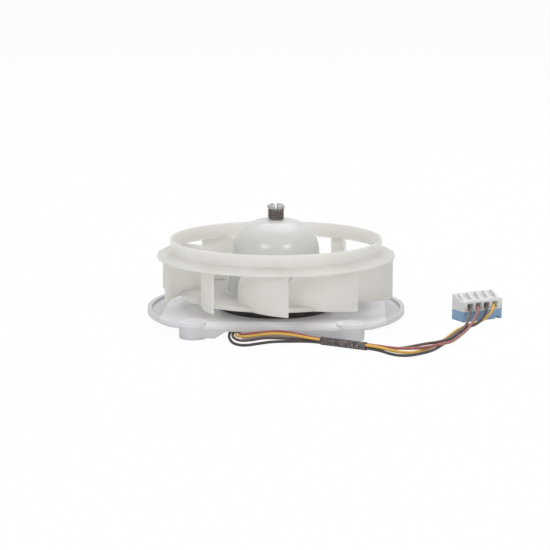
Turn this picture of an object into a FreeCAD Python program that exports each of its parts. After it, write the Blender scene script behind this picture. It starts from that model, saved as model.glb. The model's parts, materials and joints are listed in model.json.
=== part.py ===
import FreeCAD, Part

# Small direct-current fan motor of a refrigerator: a moulded mounting plate on four lugs, a moulded
# motor with an inner rotor, a radial impeller clamped on its shaft and a four-wire lead with its
# connector. Millimetres, +Z up, the shaft on the Z axis, the undersides of the lugs on Z = 0.

import math
import os
import sys

import Sketcher

SIZES = {
    # Impeller: shroud, blades, disk and dome
    "flange_radius": 52.0,
    "flange_edge_top": 30.1,
    "flange_edge": 0.9,
    "flange_width": 6.0,
    "collar_root": 32.1,
    "collar_top": 37.3,
    "collar_wall": 1.2,
    "collar_flare": 0.4,
    "blade_count": 10.0,
    "blade_tip_inset": 0.6,
    "blade_root_radius": 33.0,
    "blade_wrap": 34.0,
    "blade_curve": 37.6,
    "blade_wall": 1.1,
    "blade_bottom": 12.2,
    "blade_phase": -81.4,
    "blade_nose_curve": 14.0,
    "disk_radius": 41.7,
    "disk_bottom": 12.2,
    "disk_wall": 1.6,
    "dome_base_radius": 21.4,
    "dome_shoulder_radius": 19.0,
    "dome_top": 45.3,
    "dome_round": 14.0,
    "dome_wall": 1.5,
    # Collet on the dome and its coil clamp
    "collet_radius": 2.75,
    "collet_lip_radius": 3.85,
    "collet_nose_radius": 2.7,
    "collet_grip": 4.85,
    "collet_lip_wall": 0.95,
    "collet_nose": 0.9,
    "collet_slot": 1.3,
    "collet_slot_depth": 6.2,
    "boss_radius": 4.2,
    "boss_bottom": 37.6,
    "spring_wire": 0.74,
    "spring_turns": 5.0,
    "spring_play": 0.05,
    # Shaft and rotor
    "shaft_radius": 1.5,
    "shaft_bottom": 3.4,
    "shaft_top": 50.0,
    "shaft_chamfer": 0.3,
    "seat_play": 0.02,
    "running_play": 0.05,
    "core_radius": 4.0,
    "core_neck_radius": 2.6,
    "core_bottom": 9.6,
    "core_top": 28.3,
    "magnet_radius": 8.4,
    "magnet_bottom": 11.2,
    "magnet_top": 25.2,
    "washer_radius": 3.0,
    "washer_thickness": 0.5,
    "clip_radius": 3.1,
    "clip_thickness": 0.5,
    "clip_mouth": 2.4,
    "clip_bottom": 35.0,
    "clip_groove_depth": 0.35,
    # Motor housing and bearings
    "housing_flange_radius": 24.2,
    "housing_flange_top": 10.3,
    "housing_cavity_radius": 20.6,
    "housing_flange_roof": 1.5,
    "can_radius": 16.2,
    "can_draft": 0.5,
    "can_top": 33.6,
    "can_round": 3.0,
    "can_wall": 1.7,
    "nose_radius": 5.8,
    "nose_top": 34.4,
    "bearing_radius": 4.0,
    "bearing_length": 4.0,
    "upper_bearing_bottom": 29.2,
    "lower_bearing_bottom": 4.0,
    "bearing_chamfer": 0.4,
    "bearing_cup_wall": 1.8,
    # Stator
    "stator_bottom": 13.6,
    "stator_top": 22.6,
    "stator_bore": 9.0,
    "yoke_wall": 1.9,
    "tooth_count": 6.0,
    "tooth_width": 3.2,
    "shoe_wall": 0.9,
    "shoe_half_angle": 23.0,
    "insulator_wall": 0.8,
    "coil_inner_radius": 10.3,
    "coil_outer_radius": 11.9,
    "coil_winding": 1.2,
    "coil_play": 0.1,
    # Circuit board
    "board_radius": 19.6,
    "board_hole_radius": 6.4,
    "board_bottom": 6.8,
    "board_thickness": 1.2,
    "chip_length": 6.0,
    "chip_width": 5.0,
    "chip_height": 1.5,
    "chip_radius": 13.0,
    "hall_length": 4.0,
    "hall_width": 3.0,
    "hall_height": 1.3,
    "hall_radius": 10.4,
    "capacitor_radius": 2.5,
    "capacitor_height": 3.4,
    "capacitor_offset": 13.0,
    # Mounting plate
    "plate_radius": 56.5,
    "plate_top": 7.0,
    "plate_thickness": 2.2,
    "wing_end_inset": 14.3,
    "wing_edge_inset": 8.5,
    "wing_step": 1.2,
    "rim_width": 2.0,
    "front_edge": 40.5,
    "front_corner": 36.0,
    "slope_start": 35.5,
    "slope_end_top": 4.9,
    "skirt_wall": 2.0,
    "skirt_bottom": 0.8,
    "dish_radius": 34.5,
    "dish_floor_radius": 31.0,
    "dish_floor": 6.0,
    "plate_bore": 20.9,
    "lug_across": 33.0,
    "lug_along": 35.6,
    "lug_radius": 6.0,
    "lug_edge": 0.6,
    "lug_bore_radius": 2.1,
    "lug_bore_depth": 5.0,
    "lug_mark_radius": 0.55,
    "lug_mark_offset": 2.95,
    "lug_mark_depth": 0.5,
    "rib_wall": 1.4,
    "rib_bottom": 2.6,
    "rib_ring_play": 0.4,
    "notch_left": -24.2,
    "notch_peak": -19.0,
    "notch_right": -12.2,
    "notch_top": 3.7,
    # End cover and its screws
    "cover_radius": 24.6,
    "cover_bottom": 1.2,
    "cover_floor": 1.4,
    "cover_cavity_radius": 20.4,
    "cover_edge": 0.8,
    "post_radius": 1.5,
    "post_circle": 17.6,
    "screw_count": 3.0,
    "screw_circle": 22.5,
    "screw_radius": 0.9,
    "screw_play": 0.1,
    "screw_head_radius": 1.8,
    "screw_head_height": 1.0,
    "screw_recess": 1.2,
    "screw_top": 8.4,
    "outlet_width": 6.4,
    "outlet_angle": -118.0,
    # Wires, sleeve and connector
    "wire_diameter": 1.2,
    "sleeve_bore": 3.1,
    "sleeve_wall": 0.2,
    "connector_centre_across": 91.2,
    "connector_centre_along": 4.8,
    "connector_turn": 31.5,
    "connector_width": 20.7,
    "connector_depth": 9.0,
    "connector_joint": 4.5,
    "connector_top": 9.1,
    "cell_pitch": 4.4,
    "cell_width": 3.1,
    "cell_bottom": 5.2,
    "cell_top": 8.1,
    "cell_depth": 6.5,
    "tooth_rise": 2.4,
    "tooth_length": 3.4,
    "tooth_root": 3.0,
    "latch_notch_width": 1.8,
    "latch_notch_height": 1.1,
    "latch_notch_inset": 1.6,
    "crimp_length": 2.95,
    "crimp_side": 1.7,
}

SCREW_TURNS = (30.0, 150.0, 270.0)
POST_TURNS = (60.0, 180.0, 300.0)

WIRE_ROUTES = {
    # Each wire from the board through the notch, along the front and into its cell of the connector
    "wire_black": [
        (-9.15, -12.7, 6.15), (-11.6, -17.4, 3.7), (-14.55, -22.85, 3.6), (-16.5, -32.6, 3.2),
        (-17.6, -39.5, 2.7), (-17.05, -45.45, 1.9), (-14.8, -50.45, 0.9), (-10.25, -52.5, 0.7),
        (-4.95, -50.35, 1.1), (1.0, -47.8, 1.5), (8.95, -46.2, 1.3), (16.45, -44.95, 1.15),
        (25.7, -49.2, 1.15), (34.95, -54.0, 1.15), (44.0, -58.15, 1.15), (50.25, -65.05, 0.65),
        (55.95, -66.55, 0.65), (61.35, -62.65, 0.65), (66.85, -56.4, 0.65), (70.95, -46.55, 0.65),
        (75.1, -36.0, 0.65), (79.05, -23.8, 0.65), (83.0, -12.95, 0.65), (88.25, -6.6, 0.9),
        (91.2, -1.65, 3.2), (93.2, 2.5, 6.65), (91.85, 9.1, 6.65),
    ],
    "wire_brown": [
        (-7.9, -13.35, 6.15), (-10.4, -18.05, 3.7), (-13.3, -23.5, 3.6), (-15.1, -32.4, 3.2),
        (-16.2, -39.5, 2.7), (-15.5, -44.45, 2.2), (-12.7, -47.95, 1.7), (-7.9, -48.1, 2.0),
        (-2.6, -45.8, 2.6), (3.35, -44.8, 2.3), (9.9, -43.55, 1.7), (17.05, -43.8, 1.15),
        (26.25, -48.05, 1.15), (35.5, -52.85, 1.15), (44.55, -57.0, 1.15), (51.4, -56.0, 0.9),
        (57.85, -52.65, 1.2), (63.9, -49.9, 1.9), (69.35, -46.85, 1.9), (73.55, -41.0, 1.9),
        (77.3, -30.9, 1.95), (81.0, -20.4, 1.95), (83.6, -10.85, 2.1), (85.7, -2.1, 6.65),
        (84.35, 4.5, 6.65),
    ],
    "wire_yellow": [
        (-6.65, -14.0, 6.15), (-9.15, -18.7, 3.7), (-12.05, -24.15, 3.6), (-13.7, -32.2, 3.2),
        (-14.8, -39.5, 2.7), (-14.05, -43.7, 2.7), (-11.0, -45.95, 2.9), (-5.45, -45.25, 3.5),
        (0.8, -44.0, 4.1), (8.35, -44.2, 3.8), (16.45, -44.95, 2.4), (25.7, -49.2, 2.4),
        (34.95, -54.0, 2.4), (44.0, -58.15, 2.4), (50.75, -63.05, 1.6), (57.7, -61.65, 0.65),
        (63.8, -55.35, 0.65), (68.2, -47.7, 0.65), (71.7, -38.5, 0.65), (75.4, -27.1, 0.65),
        (79.1, -16.7, 0.65), (84.15, -8.0, 0.65), (88.85, -2.55, 0.7), (92.65, 1.45, 1.9),
        (96.8, 5.4, 6.65), (95.6, 11.4, 6.65),
    ],
    "wire_red": [
        (-5.4, -14.65, 6.15), (-7.9, -19.35, 3.7), (-10.8, -24.85, 3.6), (-12.3, -32.0, 3.2),
        (-13.4, -38.85, 2.7), (-12.5, -42.6, 3.0), (-9.8, -44.5, 3.9), (-3.75, -43.6, 4.4),
        (2.7, -42.5, 4.8), (9.75, -42.65, 4.1), (17.05, -43.8, 2.4), (26.25, -48.05, 2.4),
        (35.5, -52.85, 2.4), (44.55, -57.0, 2.4), (51.2, -59.8, 2.1), (58.5, -59.2, 1.95),
        (64.8, -55.9, 1.9), (70.7, -49.85, 1.95), (74.9, -42.35, 0.95), (77.75, -33.6, 0.65),
        (81.4, -22.55, 0.65), (84.45, -13.8, 1.3), (87.15, -6.05, 3.4), (89.45, 0.2, 6.65),
        (88.1, 6.8, 6.65),
    ],
    "shrink_sleeve": [
        (21.2, -46.4, 1.775), (25.975, -48.625, 1.775), (35.225, -53.425, 1.775), (39.75, -55.5, 1.775),
    ],
}


class Size:
    """A number together with the sheet formula that gives it."""

    def __init__(self, number, formula):
        self.number = float(number)
        self.formula = formula

    @staticmethod
    def of(value):
        return value if isinstance(value, Size) else Size(value, f"({float(value)})")

    def joined(self, other, sign, number):
        return Size(number, f"({self.formula} {sign} {Size.of(other).formula})")

    def __add__(self, other):
        return self.joined(other, "+", self.number + Size.of(other).number)

    def __sub__(self, other):
        return self.joined(other, "-", self.number - Size.of(other).number)

    def __mul__(self, other):
        return self.joined(other, "*", self.number * Size.of(other).number)

    def __truediv__(self, other):
        return self.joined(other, "/", self.number / Size.of(other).number)

    def __radd__(self, other):
        return Size.of(other) + self

    def __rsub__(self, other):
        return Size.of(other) - self

    def __rmul__(self, other):
        return Size.of(other) * self

    def __neg__(self):
        return Size.of(0.0) - self


def cosine(angle):
    angle = Size.of(angle)
    return Size(math.cos(math.radians(angle.number)), f"cos({angle.formula})")


def sine(angle):
    angle = Size.of(angle)
    return Size(math.sin(math.radians(angle.number)), f"sin({angle.formula})")


def root(value):
    return Size(math.sqrt(value.number), f"sqrt({value.formula})")


class Sheet:
    """The spreadsheet of driving sizes; each alias is read as an attribute."""

    def __init__(self, document, sizes):
        self.numbers = dict(sizes)
        cells = document.addObject("Spreadsheet::Sheet", "Sizes")
        for row, (alias, number) in enumerate(sizes.items(), start=1):
            cells.set(f"A{row}", alias)
            cells.set(f"B{row}", str(number))
            cells.setAlias(f"B{row}", alias)

    def __getattr__(self, alias):
        return Size(self.numbers[alias], f"Sizes.{alias}")


document = FreeCAD.newDocument("FanMotor")
size = Sheet(document, SIZES)
document.recompute()
pieces = {}


def bind(thing, name, value):
    """Ties a property to the sheet."""
    thing.setExpression(name, Size.of(value).formula)


def new_body(label):
    """An empty PartDesign body that becomes one sub-part."""
    body = document.addObject("PartDesign::Body", label)
    body.Label = label
    pieces[label] = body
    return body


def new_sketch(body, role, height=0.0):
    """A sketch on one of the body's origin planes, moved along the plane's normal."""
    sketch = body.newObject("Sketcher::SketchObject", "Outline")
    plane = next(item for item in body.Origin.OriginFeatures if item.Role == role)
    sketch.AttachmentSupport = [(plane, "")]
    sketch.MapMode = "FlatFace"
    if isinstance(height, Size) or height:
        bind(sketch, "AttachmentOffset.Base.z", height)
    return sketch


def fix_point(sketch, geometry, position, across, along):
    """Holds a point of the sketch at a place that the sheet gives."""
    for kind, axis, value in (("DistanceX", -2, Size.of(across)), ("DistanceY", -1, Size.of(along))):
        if value.formula == "(0.0)":
            sketch.addConstraint(Sketcher.Constraint("PointOnObject", geometry, position, axis))
            continue
        row = sketch.addConstraint(Sketcher.Constraint(kind, -1, 1, geometry, position, value.number))
        bind(sketch, f"Constraints[{row}]", value)


def fix_radius(sketch, geometry, radius):
    radius = Size.of(radius)
    row = sketch.addConstraint(Sketcher.Constraint("Radius", geometry, abs(radius.number)))
    bind(sketch, f"Constraints[{row}]", radius if radius.number > 0 else -radius)


def arc_between(start, end, radius):
    """The shorter arc from start to end: it turns left for a positive radius, right for a negative."""
    chord = end - start
    rise = math.sqrt(max(radius ** 2 - (chord.Length / 2) ** 2, 0.0))
    side = FreeCAD.Vector(-chord.y, chord.x, 0).normalize() * math.copysign(rise, radius)
    centre = (start + end) * 0.5 + side
    first, last = (start, end) if radius > 0 else (end, start)
    angles = [math.atan2(point.y - centre.y, point.x - centre.x) for point in (first, last)]
    circle = Part.Circle(centre, FreeCAD.Vector(0, 0, 1), abs(radius))
    return Part.ArcOfCircle(circle, angles[0], angles[1])


def draw_outline(sketch, corners):
    """A closed outline; a corner's third value is the radius of the arc that leaves it."""
    spots = [FreeCAD.Vector(Size.of(item[0]).number, Size.of(item[1]).number, 0) for item in corners]
    base = sketch.GeometryCount
    ends = []
    for index, corner in enumerate(corners):
        start, end = spots[index], spots[(index + 1) % len(spots)]
        if len(corner) == 3:
            sketch.addGeometry(arc_between(start, end, Size.of(corner[2]).number), False)
            ends.append((1, 2) if Size.of(corner[2]).number > 0 else (2, 1))
        else:
            sketch.addGeometry(Part.LineSegment(start, end), False)
            ends.append((1, 2))
    for index, corner in enumerate(corners):
        after = (index + 1) % len(corners)
        link = Sketcher.Constraint("Coincident", base + index, ends[index][1], base + after, ends[after][0])
        sketch.addConstraint(link)
    for index, corner in enumerate(corners):
        fix_point(sketch, base + index, ends[index][0], corner[0], corner[1])
        if len(corner) == 3:
            fix_radius(sketch, base + index, corner[2])


def draw_circle(sketch, across, along, radius):
    across, along = Size.of(across), Size.of(along)
    centre = FreeCAD.Vector(across.number, along.number, 0)
    circle = Part.Circle(centre, FreeCAD.Vector(0, 0, 1), Size.of(radius).number)
    row = sketch.addGeometry(circle, False)
    fix_point(sketch, row, 3, across, along)
    fix_radius(sketch, row, radius)


def draw_box(sketch, low_across, high_across, low_along, high_along):
    draw_outline(sketch, [(low_across, low_along), (high_across, low_along),
                          (high_across, high_along), (low_across, high_along)])


def turned(body, outline, kind="PartDesign::Revolution"):
    """Revolves an outline of (radius, height) corners about the Z axis."""
    sketch = new_sketch(body, "XZ_Plane")
    draw_outline(sketch, outline)
    feature = body.newObject(kind, "Turned")
    feature.Profile = sketch
    feature.ReferenceAxis = (sketch, ["V_Axis"])
    feature.Angle = 360.0
    return feature


def bored(body, outline):
    """Cuts a revolved outline out of the body."""
    return turned(body, outline, "PartDesign::Groove")


def padded(body, sketch, length):
    feature = body.newObject("PartDesign::Pad", "Padded")
    feature.Profile = sketch
    bind(feature, "Length", length)
    return feature


def cut_down(body, sketch, depth):
    """Pockets towards the side that the sketch plane faces away from."""
    feature = body.newObject("PartDesign::Pocket", "CutDown")
    feature.Profile = sketch
    bind(feature, "Length", depth)
    return feature


def cut_up(body, sketch, depth):
    """Pockets towards the side that the sketch plane faces."""
    feature = cut_down(body, sketch, depth)
    feature.Reversed = True
    return feature


def cut_both(body, sketch, length):
    """Pockets half the length to each side of the sketch plane."""
    feature = cut_down(body, sketch, length)
    feature.Midplane = True
    return feature


def repeated(body, features, count):
    """Repeats features evenly about the Z axis."""
    pattern = body.newObject("PartDesign::PolarPattern", "Repeated")
    pattern.Originals = features
    upright = next(item for item in body.Origin.OriginFeatures if item.Role == "Z_Axis")
    pattern.Axis = (upright, [""])
    pattern.Angle = 360.0
    bind(pattern, "Occurrences", count)
    body.Tip = pattern
    return pattern


def edges_at(shape, height, radius, tolerance=0.02):
    """Names of the circular edges of a given radius at a given height."""
    names = []
    for index, edge in enumerate(shape.Edges, start=1):
        curve = edge.Curve
        if not isinstance(curve, Part.Circle):
            continue
        if abs(curve.Radius - radius) < tolerance and abs(edge.CenterOfMass.z - height) < tolerance:
            names.append(f"Edge{index}")
    return names


def rounded(body, previous, height, radius, fillet):
    """Rounds the circular edges of one radius at one height."""
    document.recompute()
    names = edges_at(previous.Shape, Size.of(height).number, Size.of(radius).number)
    feature = body.newObject("PartDesign::Fillet", "Rounded")
    feature.Base = (previous, names)
    bind(feature, "Radius", fillet)
    return feature


def build_impeller():
    """One moulding: back disk and dome, blades, shroud flange with its inlet collar, and collet."""
    body = new_body("impeller")
    disk_top = size.disk_bottom + size.disk_wall
    flange_bottom = size.flange_edge_top - size.flange_edge
    flange_middle = size.flange_edge_top - size.flange_edge / 2
    collar_radius = size.flange_radius - size.flange_width
    collar_inner = collar_radius - size.collar_wall
    collar_bottom = size.collar_root - size.flange_edge
    above = size.collar_root + 1.0
    lip_bottom = size.dome_top + size.collet_grip
    lip_top = lip_bottom + size.collet_lip_wall
    collet_top = lip_top + size.collet_nose
    crown_centre = size.dome_top - size.dome_round
    flat_radius = size.dome_shoulder_radius - size.dome_round
    inner_round = size.dome_round - size.dome_wall
    shaft_bore = size.shaft_radius + size.seat_play

    blade = new_sketch(body, "XY_Plane", size.blade_bottom)
    draw_blade(blade)
    first_blade = padded(body, blade, size.collar_root - size.blade_bottom)
    repeated(body, [first_blade], size.blade_count)
    inside = size.blade_root_radius - 2.0
    bored(body, [(inside, disk_top), (size.blade_root_radius, disk_top, -size.blade_nose_curve),
                 (collar_inner, collar_bottom), (collar_inner, collar_bottom + size.flange_edge / 2),
                 (size.flange_radius, flange_middle), (size.flange_radius, above), (inside, above)])
    turned(body, [(collar_inner, collar_bottom), (size.flange_radius, flange_bottom),
                  (size.flange_radius, size.flange_edge_top), (collar_radius, size.collar_root),
                  (collar_radius + size.collar_flare, size.collar_top),
                  (collar_inner + size.collar_flare, size.collar_top)])
    turned(body, [(size.boss_radius, size.boss_bottom),
                  (size.boss_radius, size.dome_top - size.dome_wall),
                  (flat_radius, size.dome_top - size.dome_wall, -inner_round),
                  (size.dome_shoulder_radius - size.dome_wall, crown_centre),
                  (size.dome_base_radius - size.dome_wall, size.disk_bottom),
                  (size.disk_radius, size.disk_bottom), (size.disk_radius, disk_top),
                  (size.dome_base_radius, disk_top),
                  (size.dome_shoulder_radius, crown_centre, size.dome_round),
                  (flat_radius, size.dome_top), (size.collet_radius, size.dome_top),
                  (size.collet_radius, lip_bottom), (size.collet_lip_radius, lip_bottom),
                  (size.collet_lip_radius, lip_top), (size.collet_nose_radius, collet_top),
                  (shaft_bore, collet_top), (shaft_bore, size.boss_bottom)])
    half_slot, reach = size.collet_slot / 2, size.collet_lip_radius + 1.0
    for role_swap in (False, True):
        slot = new_sketch(body, "XY_Plane", collet_top)
        if role_swap:
            draw_box(slot, -half_slot, half_slot, -reach, reach)
        else:
            draw_box(slot, -reach, reach, -half_slot, half_slot)
        cut_down(body, slot, size.collet_slot_depth)
    bind(body, "Placement.Rotation.Angle", size.blade_phase)


def draw_blade(sketch):
    """Plan of a blade that curls back: two arcs either side of a centre line that ends at the tip."""
    tip = (size.flange_radius - size.blade_tip_inset, Size.of(0.0))
    base = (size.blade_root_radius * cosine(size.blade_wrap),
            -(size.blade_root_radius * sine(size.blade_wrap)))
    start = FreeCAD.Vector(base[0].number, base[1].number, 0)
    end = FreeCAD.Vector(tip[0].number, tip[1].number, 0)
    middle = arc_between(start, end, size.blade_curve.number)
    sketch.addGeometry(middle, True)
    fix_point(sketch, 0, 1, *base)
    fix_point(sketch, 0, 2, *tip)
    fix_radius(sketch, 0, size.blade_curve)
    centre, half = middle.Center, size.blade_wall / 2
    for row, radius in ((1, size.blade_curve + half), (2, size.blade_curve - half)):
        circle = Part.Circle(centre, FreeCAD.Vector(0, 0, 1), radius.number)
        sketch.addGeometry(Part.ArcOfCircle(circle, middle.FirstParameter, middle.LastParameter), False)
        sketch.addConstraint(Sketcher.Constraint("Coincident", row, 3, 0, 3))
        fix_radius(sketch, row, radius)
    for row, position in ((3, 1), (4, 2)):
        outer, inner = sketch.getPoint(1, position), sketch.getPoint(2, position)
        sketch.addGeometry(Part.LineSegment(outer, inner), False)
        sketch.addConstraint(Sketcher.Constraint("Coincident", row, 1, 1, position))
        sketch.addConstraint(Sketcher.Constraint("Coincident", row, 2, 2, position))
        sketch.addConstraint(Sketcher.Constraint("PointOnObject", 0, position, row))
        sketch.addConstraint(Sketcher.Constraint("PointOnObject", 0, 3, row))


def build_clamp_spring():
    """Close-wound coil that squeezes the collet's fingers on the shaft."""
    body = new_body("clamp_spring")
    middle = size.collet_radius + size.spring_play + size.spring_wire / 2
    bottom = size.dome_top + size.spring_wire / 2 + size.spring_play
    sketch = new_sketch(body, "XZ_Plane")
    draw_circle(sketch, middle, bottom, size.spring_wire / 2)
    coil = body.newObject("PartDesign::AdditiveHelix", "Coil")
    coil.Profile = sketch
    coil.ReferenceAxis = (sketch, ["V_Axis"])
    coil.Mode = "pitch-turns-angle"
    room = size.collet_grip - size.spring_wire - size.spring_play * 2
    bind(coil, "Pitch", room / size.spring_turns)
    bind(coil, "Turns", size.spring_turns)


def build_shaft():
    """Steel shaft from the thrust pad up into the collet, with a groove for the clip."""
    body = new_body("shaft")
    low, high, edge = size.shaft_bottom, size.shaft_top, size.shaft_chamfer
    groove = size.shaft_radius - size.clip_groove_depth
    turned(body, [(0.0, low), (size.shaft_radius - edge, low), (size.shaft_radius, low + edge),
                  (size.shaft_radius, size.clip_bottom), (groove, size.clip_bottom),
                  (groove, size.clip_bottom + size.clip_thickness),
                  (size.shaft_radius, size.clip_bottom + size.clip_thickness),
                  (size.shaft_radius, high - edge), (size.shaft_radius - edge, high), (0.0, high)])


def build_rotor():
    """Hub, ring magnet, washer and clip that turn with the shaft."""
    bore = size.shaft_radius + size.seat_play
    hub = new_body("rotor_core")
    turned(hub, [(bore, size.core_bottom), (size.core_neck_radius, size.core_bottom),
                 (size.core_neck_radius, size.magnet_bottom), (size.core_radius, size.magnet_bottom),
                 (size.core_radius, size.magnet_top), (size.core_neck_radius, size.magnet_top),
                 (size.core_neck_radius, size.core_top), (bore, size.core_top)])
    magnet = new_body("magnet_ring")
    inner, edge = size.core_radius + size.seat_play, size.shaft_chamfer
    turned(magnet, [(inner, size.magnet_bottom), (size.magnet_radius - edge, size.magnet_bottom),
                    (size.magnet_radius, size.magnet_bottom + edge),
                    (size.magnet_radius, size.magnet_top - edge),
                    (size.magnet_radius - edge, size.magnet_top), (inner, size.magnet_top)])
    washer = new_body("thrust_washer")
    top = size.core_top + size.washer_thickness
    turned(washer, [(bore, size.core_top), (size.washer_radius, size.core_top),
                    (size.washer_radius, top), (bore, top)])
    clip = new_body("retaining_clip")
    clip_bore = size.shaft_radius - size.clip_groove_depth + size.seat_play
    plan = new_sketch(clip, "XY_Plane", size.clip_bottom)
    draw_circle(plan, 0.0, 0.0, size.clip_radius)
    draw_circle(plan, 0.0, 0.0, clip_bore)
    padded(clip, plan, size.clip_thickness)
    mouth = new_sketch(clip, "XY_Plane", size.clip_bottom)
    draw_box(mouth, 0.0, size.clip_radius + 1.0, -(size.clip_mouth / 2), size.clip_mouth / 2)
    cut_up(clip, mouth, size.clip_thickness)


def build_bearing(label, bottom):
    """Sintered sleeve bearing with chamfered ends."""
    body = new_body(label)
    bore, edge = size.shaft_radius + size.running_play, size.bearing_chamfer
    top = bottom + size.bearing_length
    turned(body, [(bore, bottom), (size.bearing_radius - edge, bottom),
                  (size.bearing_radius, bottom + edge), (size.bearing_radius, top - edge),
                  (size.bearing_radius - edge, top), (bore, top)])


def build_housing():
    """Black moulded housing: a wide flange on the plate and a can that fills the impeller's dome."""
    body = new_body("motor_housing")
    edge = size.shaft_chamfer * 2
    cup = size.bearing_radius + size.seat_play
    cup_outer = cup + size.bearing_cup_wall
    roof = size.upper_bearing_bottom + size.bearing_length
    inner_can = size.can_radius - size.can_wall
    ceiling = size.can_top - size.can_wall
    shaft_hole = size.shaft_radius + 0.5
    insulator_top = size.stator_top + size.insulator_wall
    turned(body, [
        (size.housing_cavity_radius, size.dish_floor), (size.housing_flange_radius, size.dish_floor),
        (size.housing_flange_radius, size.housing_flange_top - edge),
        (size.housing_flange_radius - edge, size.housing_flange_top),
        (size.can_radius, size.housing_flange_top),
        (size.can_radius - size.can_draft, size.can_top - size.can_round, size.can_round),
        (size.can_radius - size.can_draft - size.can_round, size.can_top),
        (size.nose_radius, size.can_top), (size.nose_radius, size.nose_top), (shaft_hole, size.nose_top),
        (shaft_hole, roof), (cup, roof), (cup, size.upper_bearing_bottom),
        (cup_outer, size.upper_bearing_bottom), (cup_outer, ceiling),
        (inner_can - size.can_draft, ceiling), (inner_can - size.can_draft, insulator_top + 1.0),
        (inner_can, insulator_top), (inner_can, size.housing_flange_top - size.housing_flange_roof),
        (size.housing_cavity_radius, size.housing_flange_top - size.housing_flange_roof)])
    hole = new_sketch(body, "XY_Plane", size.dish_floor)
    draw_circle(hole, size.screw_circle, 0.0, size.screw_radius + size.seat_play)
    first = cut_up(body, hole, size.screw_top - size.dish_floor + 0.2)
    repeated(body, [first], size.screw_count)
    bind(body, "Placement.Rotation.Angle", SCREW_TURNS[0])


def draw_stator(sketch):
    """Plan of a lamination: yoke ring, teeth and pole shoes as one closed outline per slot."""
    outer = size.can_radius - size.can_wall - size.seat_play
    draw_circle(sketch, 0.0, 0.0, outer)
    draw_circle(sketch, 0.0, 0.0, size.stator_bore)


def cut_slots(body, bottom, height):
    """Cuts the winding slots that leave the teeth standing."""
    outer = size.can_radius - size.can_wall - size.seat_play - size.yoke_wall
    shoe = size.stator_bore + size.shoe_wall
    step = 360.0 / size.tooth_count.number
    half = size.tooth_width / 2
    low_in, high_in = root(shoe * shoe - half * half), root(outer * outer - half * half)
    turn = Size(step, f"(360 / {size.tooth_count.formula})")
    slot = new_sketch(body, "XY_Plane", bottom)
    far_low = (low_in * cosine(turn) + half * sine(turn), low_in * sine(turn) - half * cosine(turn))
    far_high = (high_in * cosine(turn) + half * sine(turn), high_in * sine(turn) - half * cosine(turn))
    draw_outline(slot, [(low_in, half), (high_in, half, outer), far_high, (far_low[0], far_low[1], -shoe)])
    first = cut_up(body, slot, height)
    repeated(body, [first], size.tooth_count)
    mouth = new_sketch(body, "XY_Plane", bottom)
    gap = turn - size.shoe_half_angle
    near, far = size.stator_bore - 0.5, shoe + 0.3
    draw_outline(mouth, [
        (near * cosine(size.shoe_half_angle), near * sine(size.shoe_half_angle)),
        (far * cosine(size.shoe_half_angle), far * sine(size.shoe_half_angle)),
        (far * cosine(gap), far * sine(gap)), (near * cosine(gap), near * sine(gap))])
    opening = cut_up(body, mouth, height)
    repeated(body, [opening], size.tooth_count)


def build_stator():
    """Laminated stator, its two end insulators and the coils on its teeth."""
    stacks = (("stator_core", size.stator_bottom, size.stator_top - size.stator_bottom),
              ("lower_insulator", size.stator_bottom - size.insulator_wall, size.insulator_wall),
              ("upper_insulator", size.stator_top, size.insulator_wall))
    for label, bottom, height in stacks:
        body = new_body(label)
        plan = new_sketch(body, "XY_Plane", bottom)
        draw_stator(plan)
        padded(body, plan, height)
        cut_slots(body, bottom, height)
    coils = new_body("stator_coils")
    inner_half = size.tooth_width / 2 + size.coil_play
    outer_half = inner_half + size.coil_winding
    low = size.stator_bottom - size.insulator_wall - size.coil_play
    high = size.stator_top + size.insulator_wall + size.coil_play
    side = new_sketch(coils, "YZ_Plane", size.coil_inner_radius)
    draw_box(side, -outer_half, outer_half, low - size.coil_winding, high + size.coil_winding)
    draw_box(side, -inner_half, inner_half, low, high)
    first = padded(coils, side, size.coil_outer_radius - size.coil_inner_radius)
    repeated(coils, [first], size.tooth_count)


def build_board():
    """Ring-shaped circuit board with its driver chip, capacitor and position sensor."""
    board = new_body("circuit_board")
    plan = new_sketch(board, "XY_Plane", size.board_bottom)
    draw_circle(plan, 0.0, 0.0, size.board_radius)
    draw_circle(plan, 0.0, 0.0, size.board_hole_radius)
    padded(board, plan, size.board_thickness)
    chip = new_body("driver_chip")
    plan = new_sketch(chip, "XY_Plane", size.board_bottom)
    draw_box(plan, -(size.chip_length / 2), size.chip_length / 2,
             size.chip_radius - size.chip_width / 2, size.chip_radius + size.chip_width / 2)
    padded(chip, plan, size.chip_height).Reversed = True
    sensor = new_body("hall_sensor")
    plan = new_sketch(sensor, "XY_Plane", size.board_bottom + size.board_thickness)
    draw_box(plan, -(size.hall_length / 2), size.hall_length / 2,
             size.hall_radius - size.hall_width / 2, size.hall_radius + size.hall_width / 2)
    padded(sensor, plan, size.hall_height)
    capacitor = new_body("capacitor")
    plan = new_sketch(capacitor, "XY_Plane", size.board_bottom)
    draw_circle(plan, size.capacitor_offset, 0.0, size.capacitor_radius)
    padded(capacitor, plan, size.capacitor_height).Reversed = True


def draw_passage(sketch, near, far):
    """Plan of the wires' way out: a straight slot between two radii."""
    half = size.outlet_width / 2
    level, rise = cosine(size.outlet_angle), sine(size.outlet_angle)
    draw_outline(sketch, [(span * level - offset * rise, span * rise + offset * level)
                          for span, offset in ((near, -half), (far, -half), (far, half), (near, half))])


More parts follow.
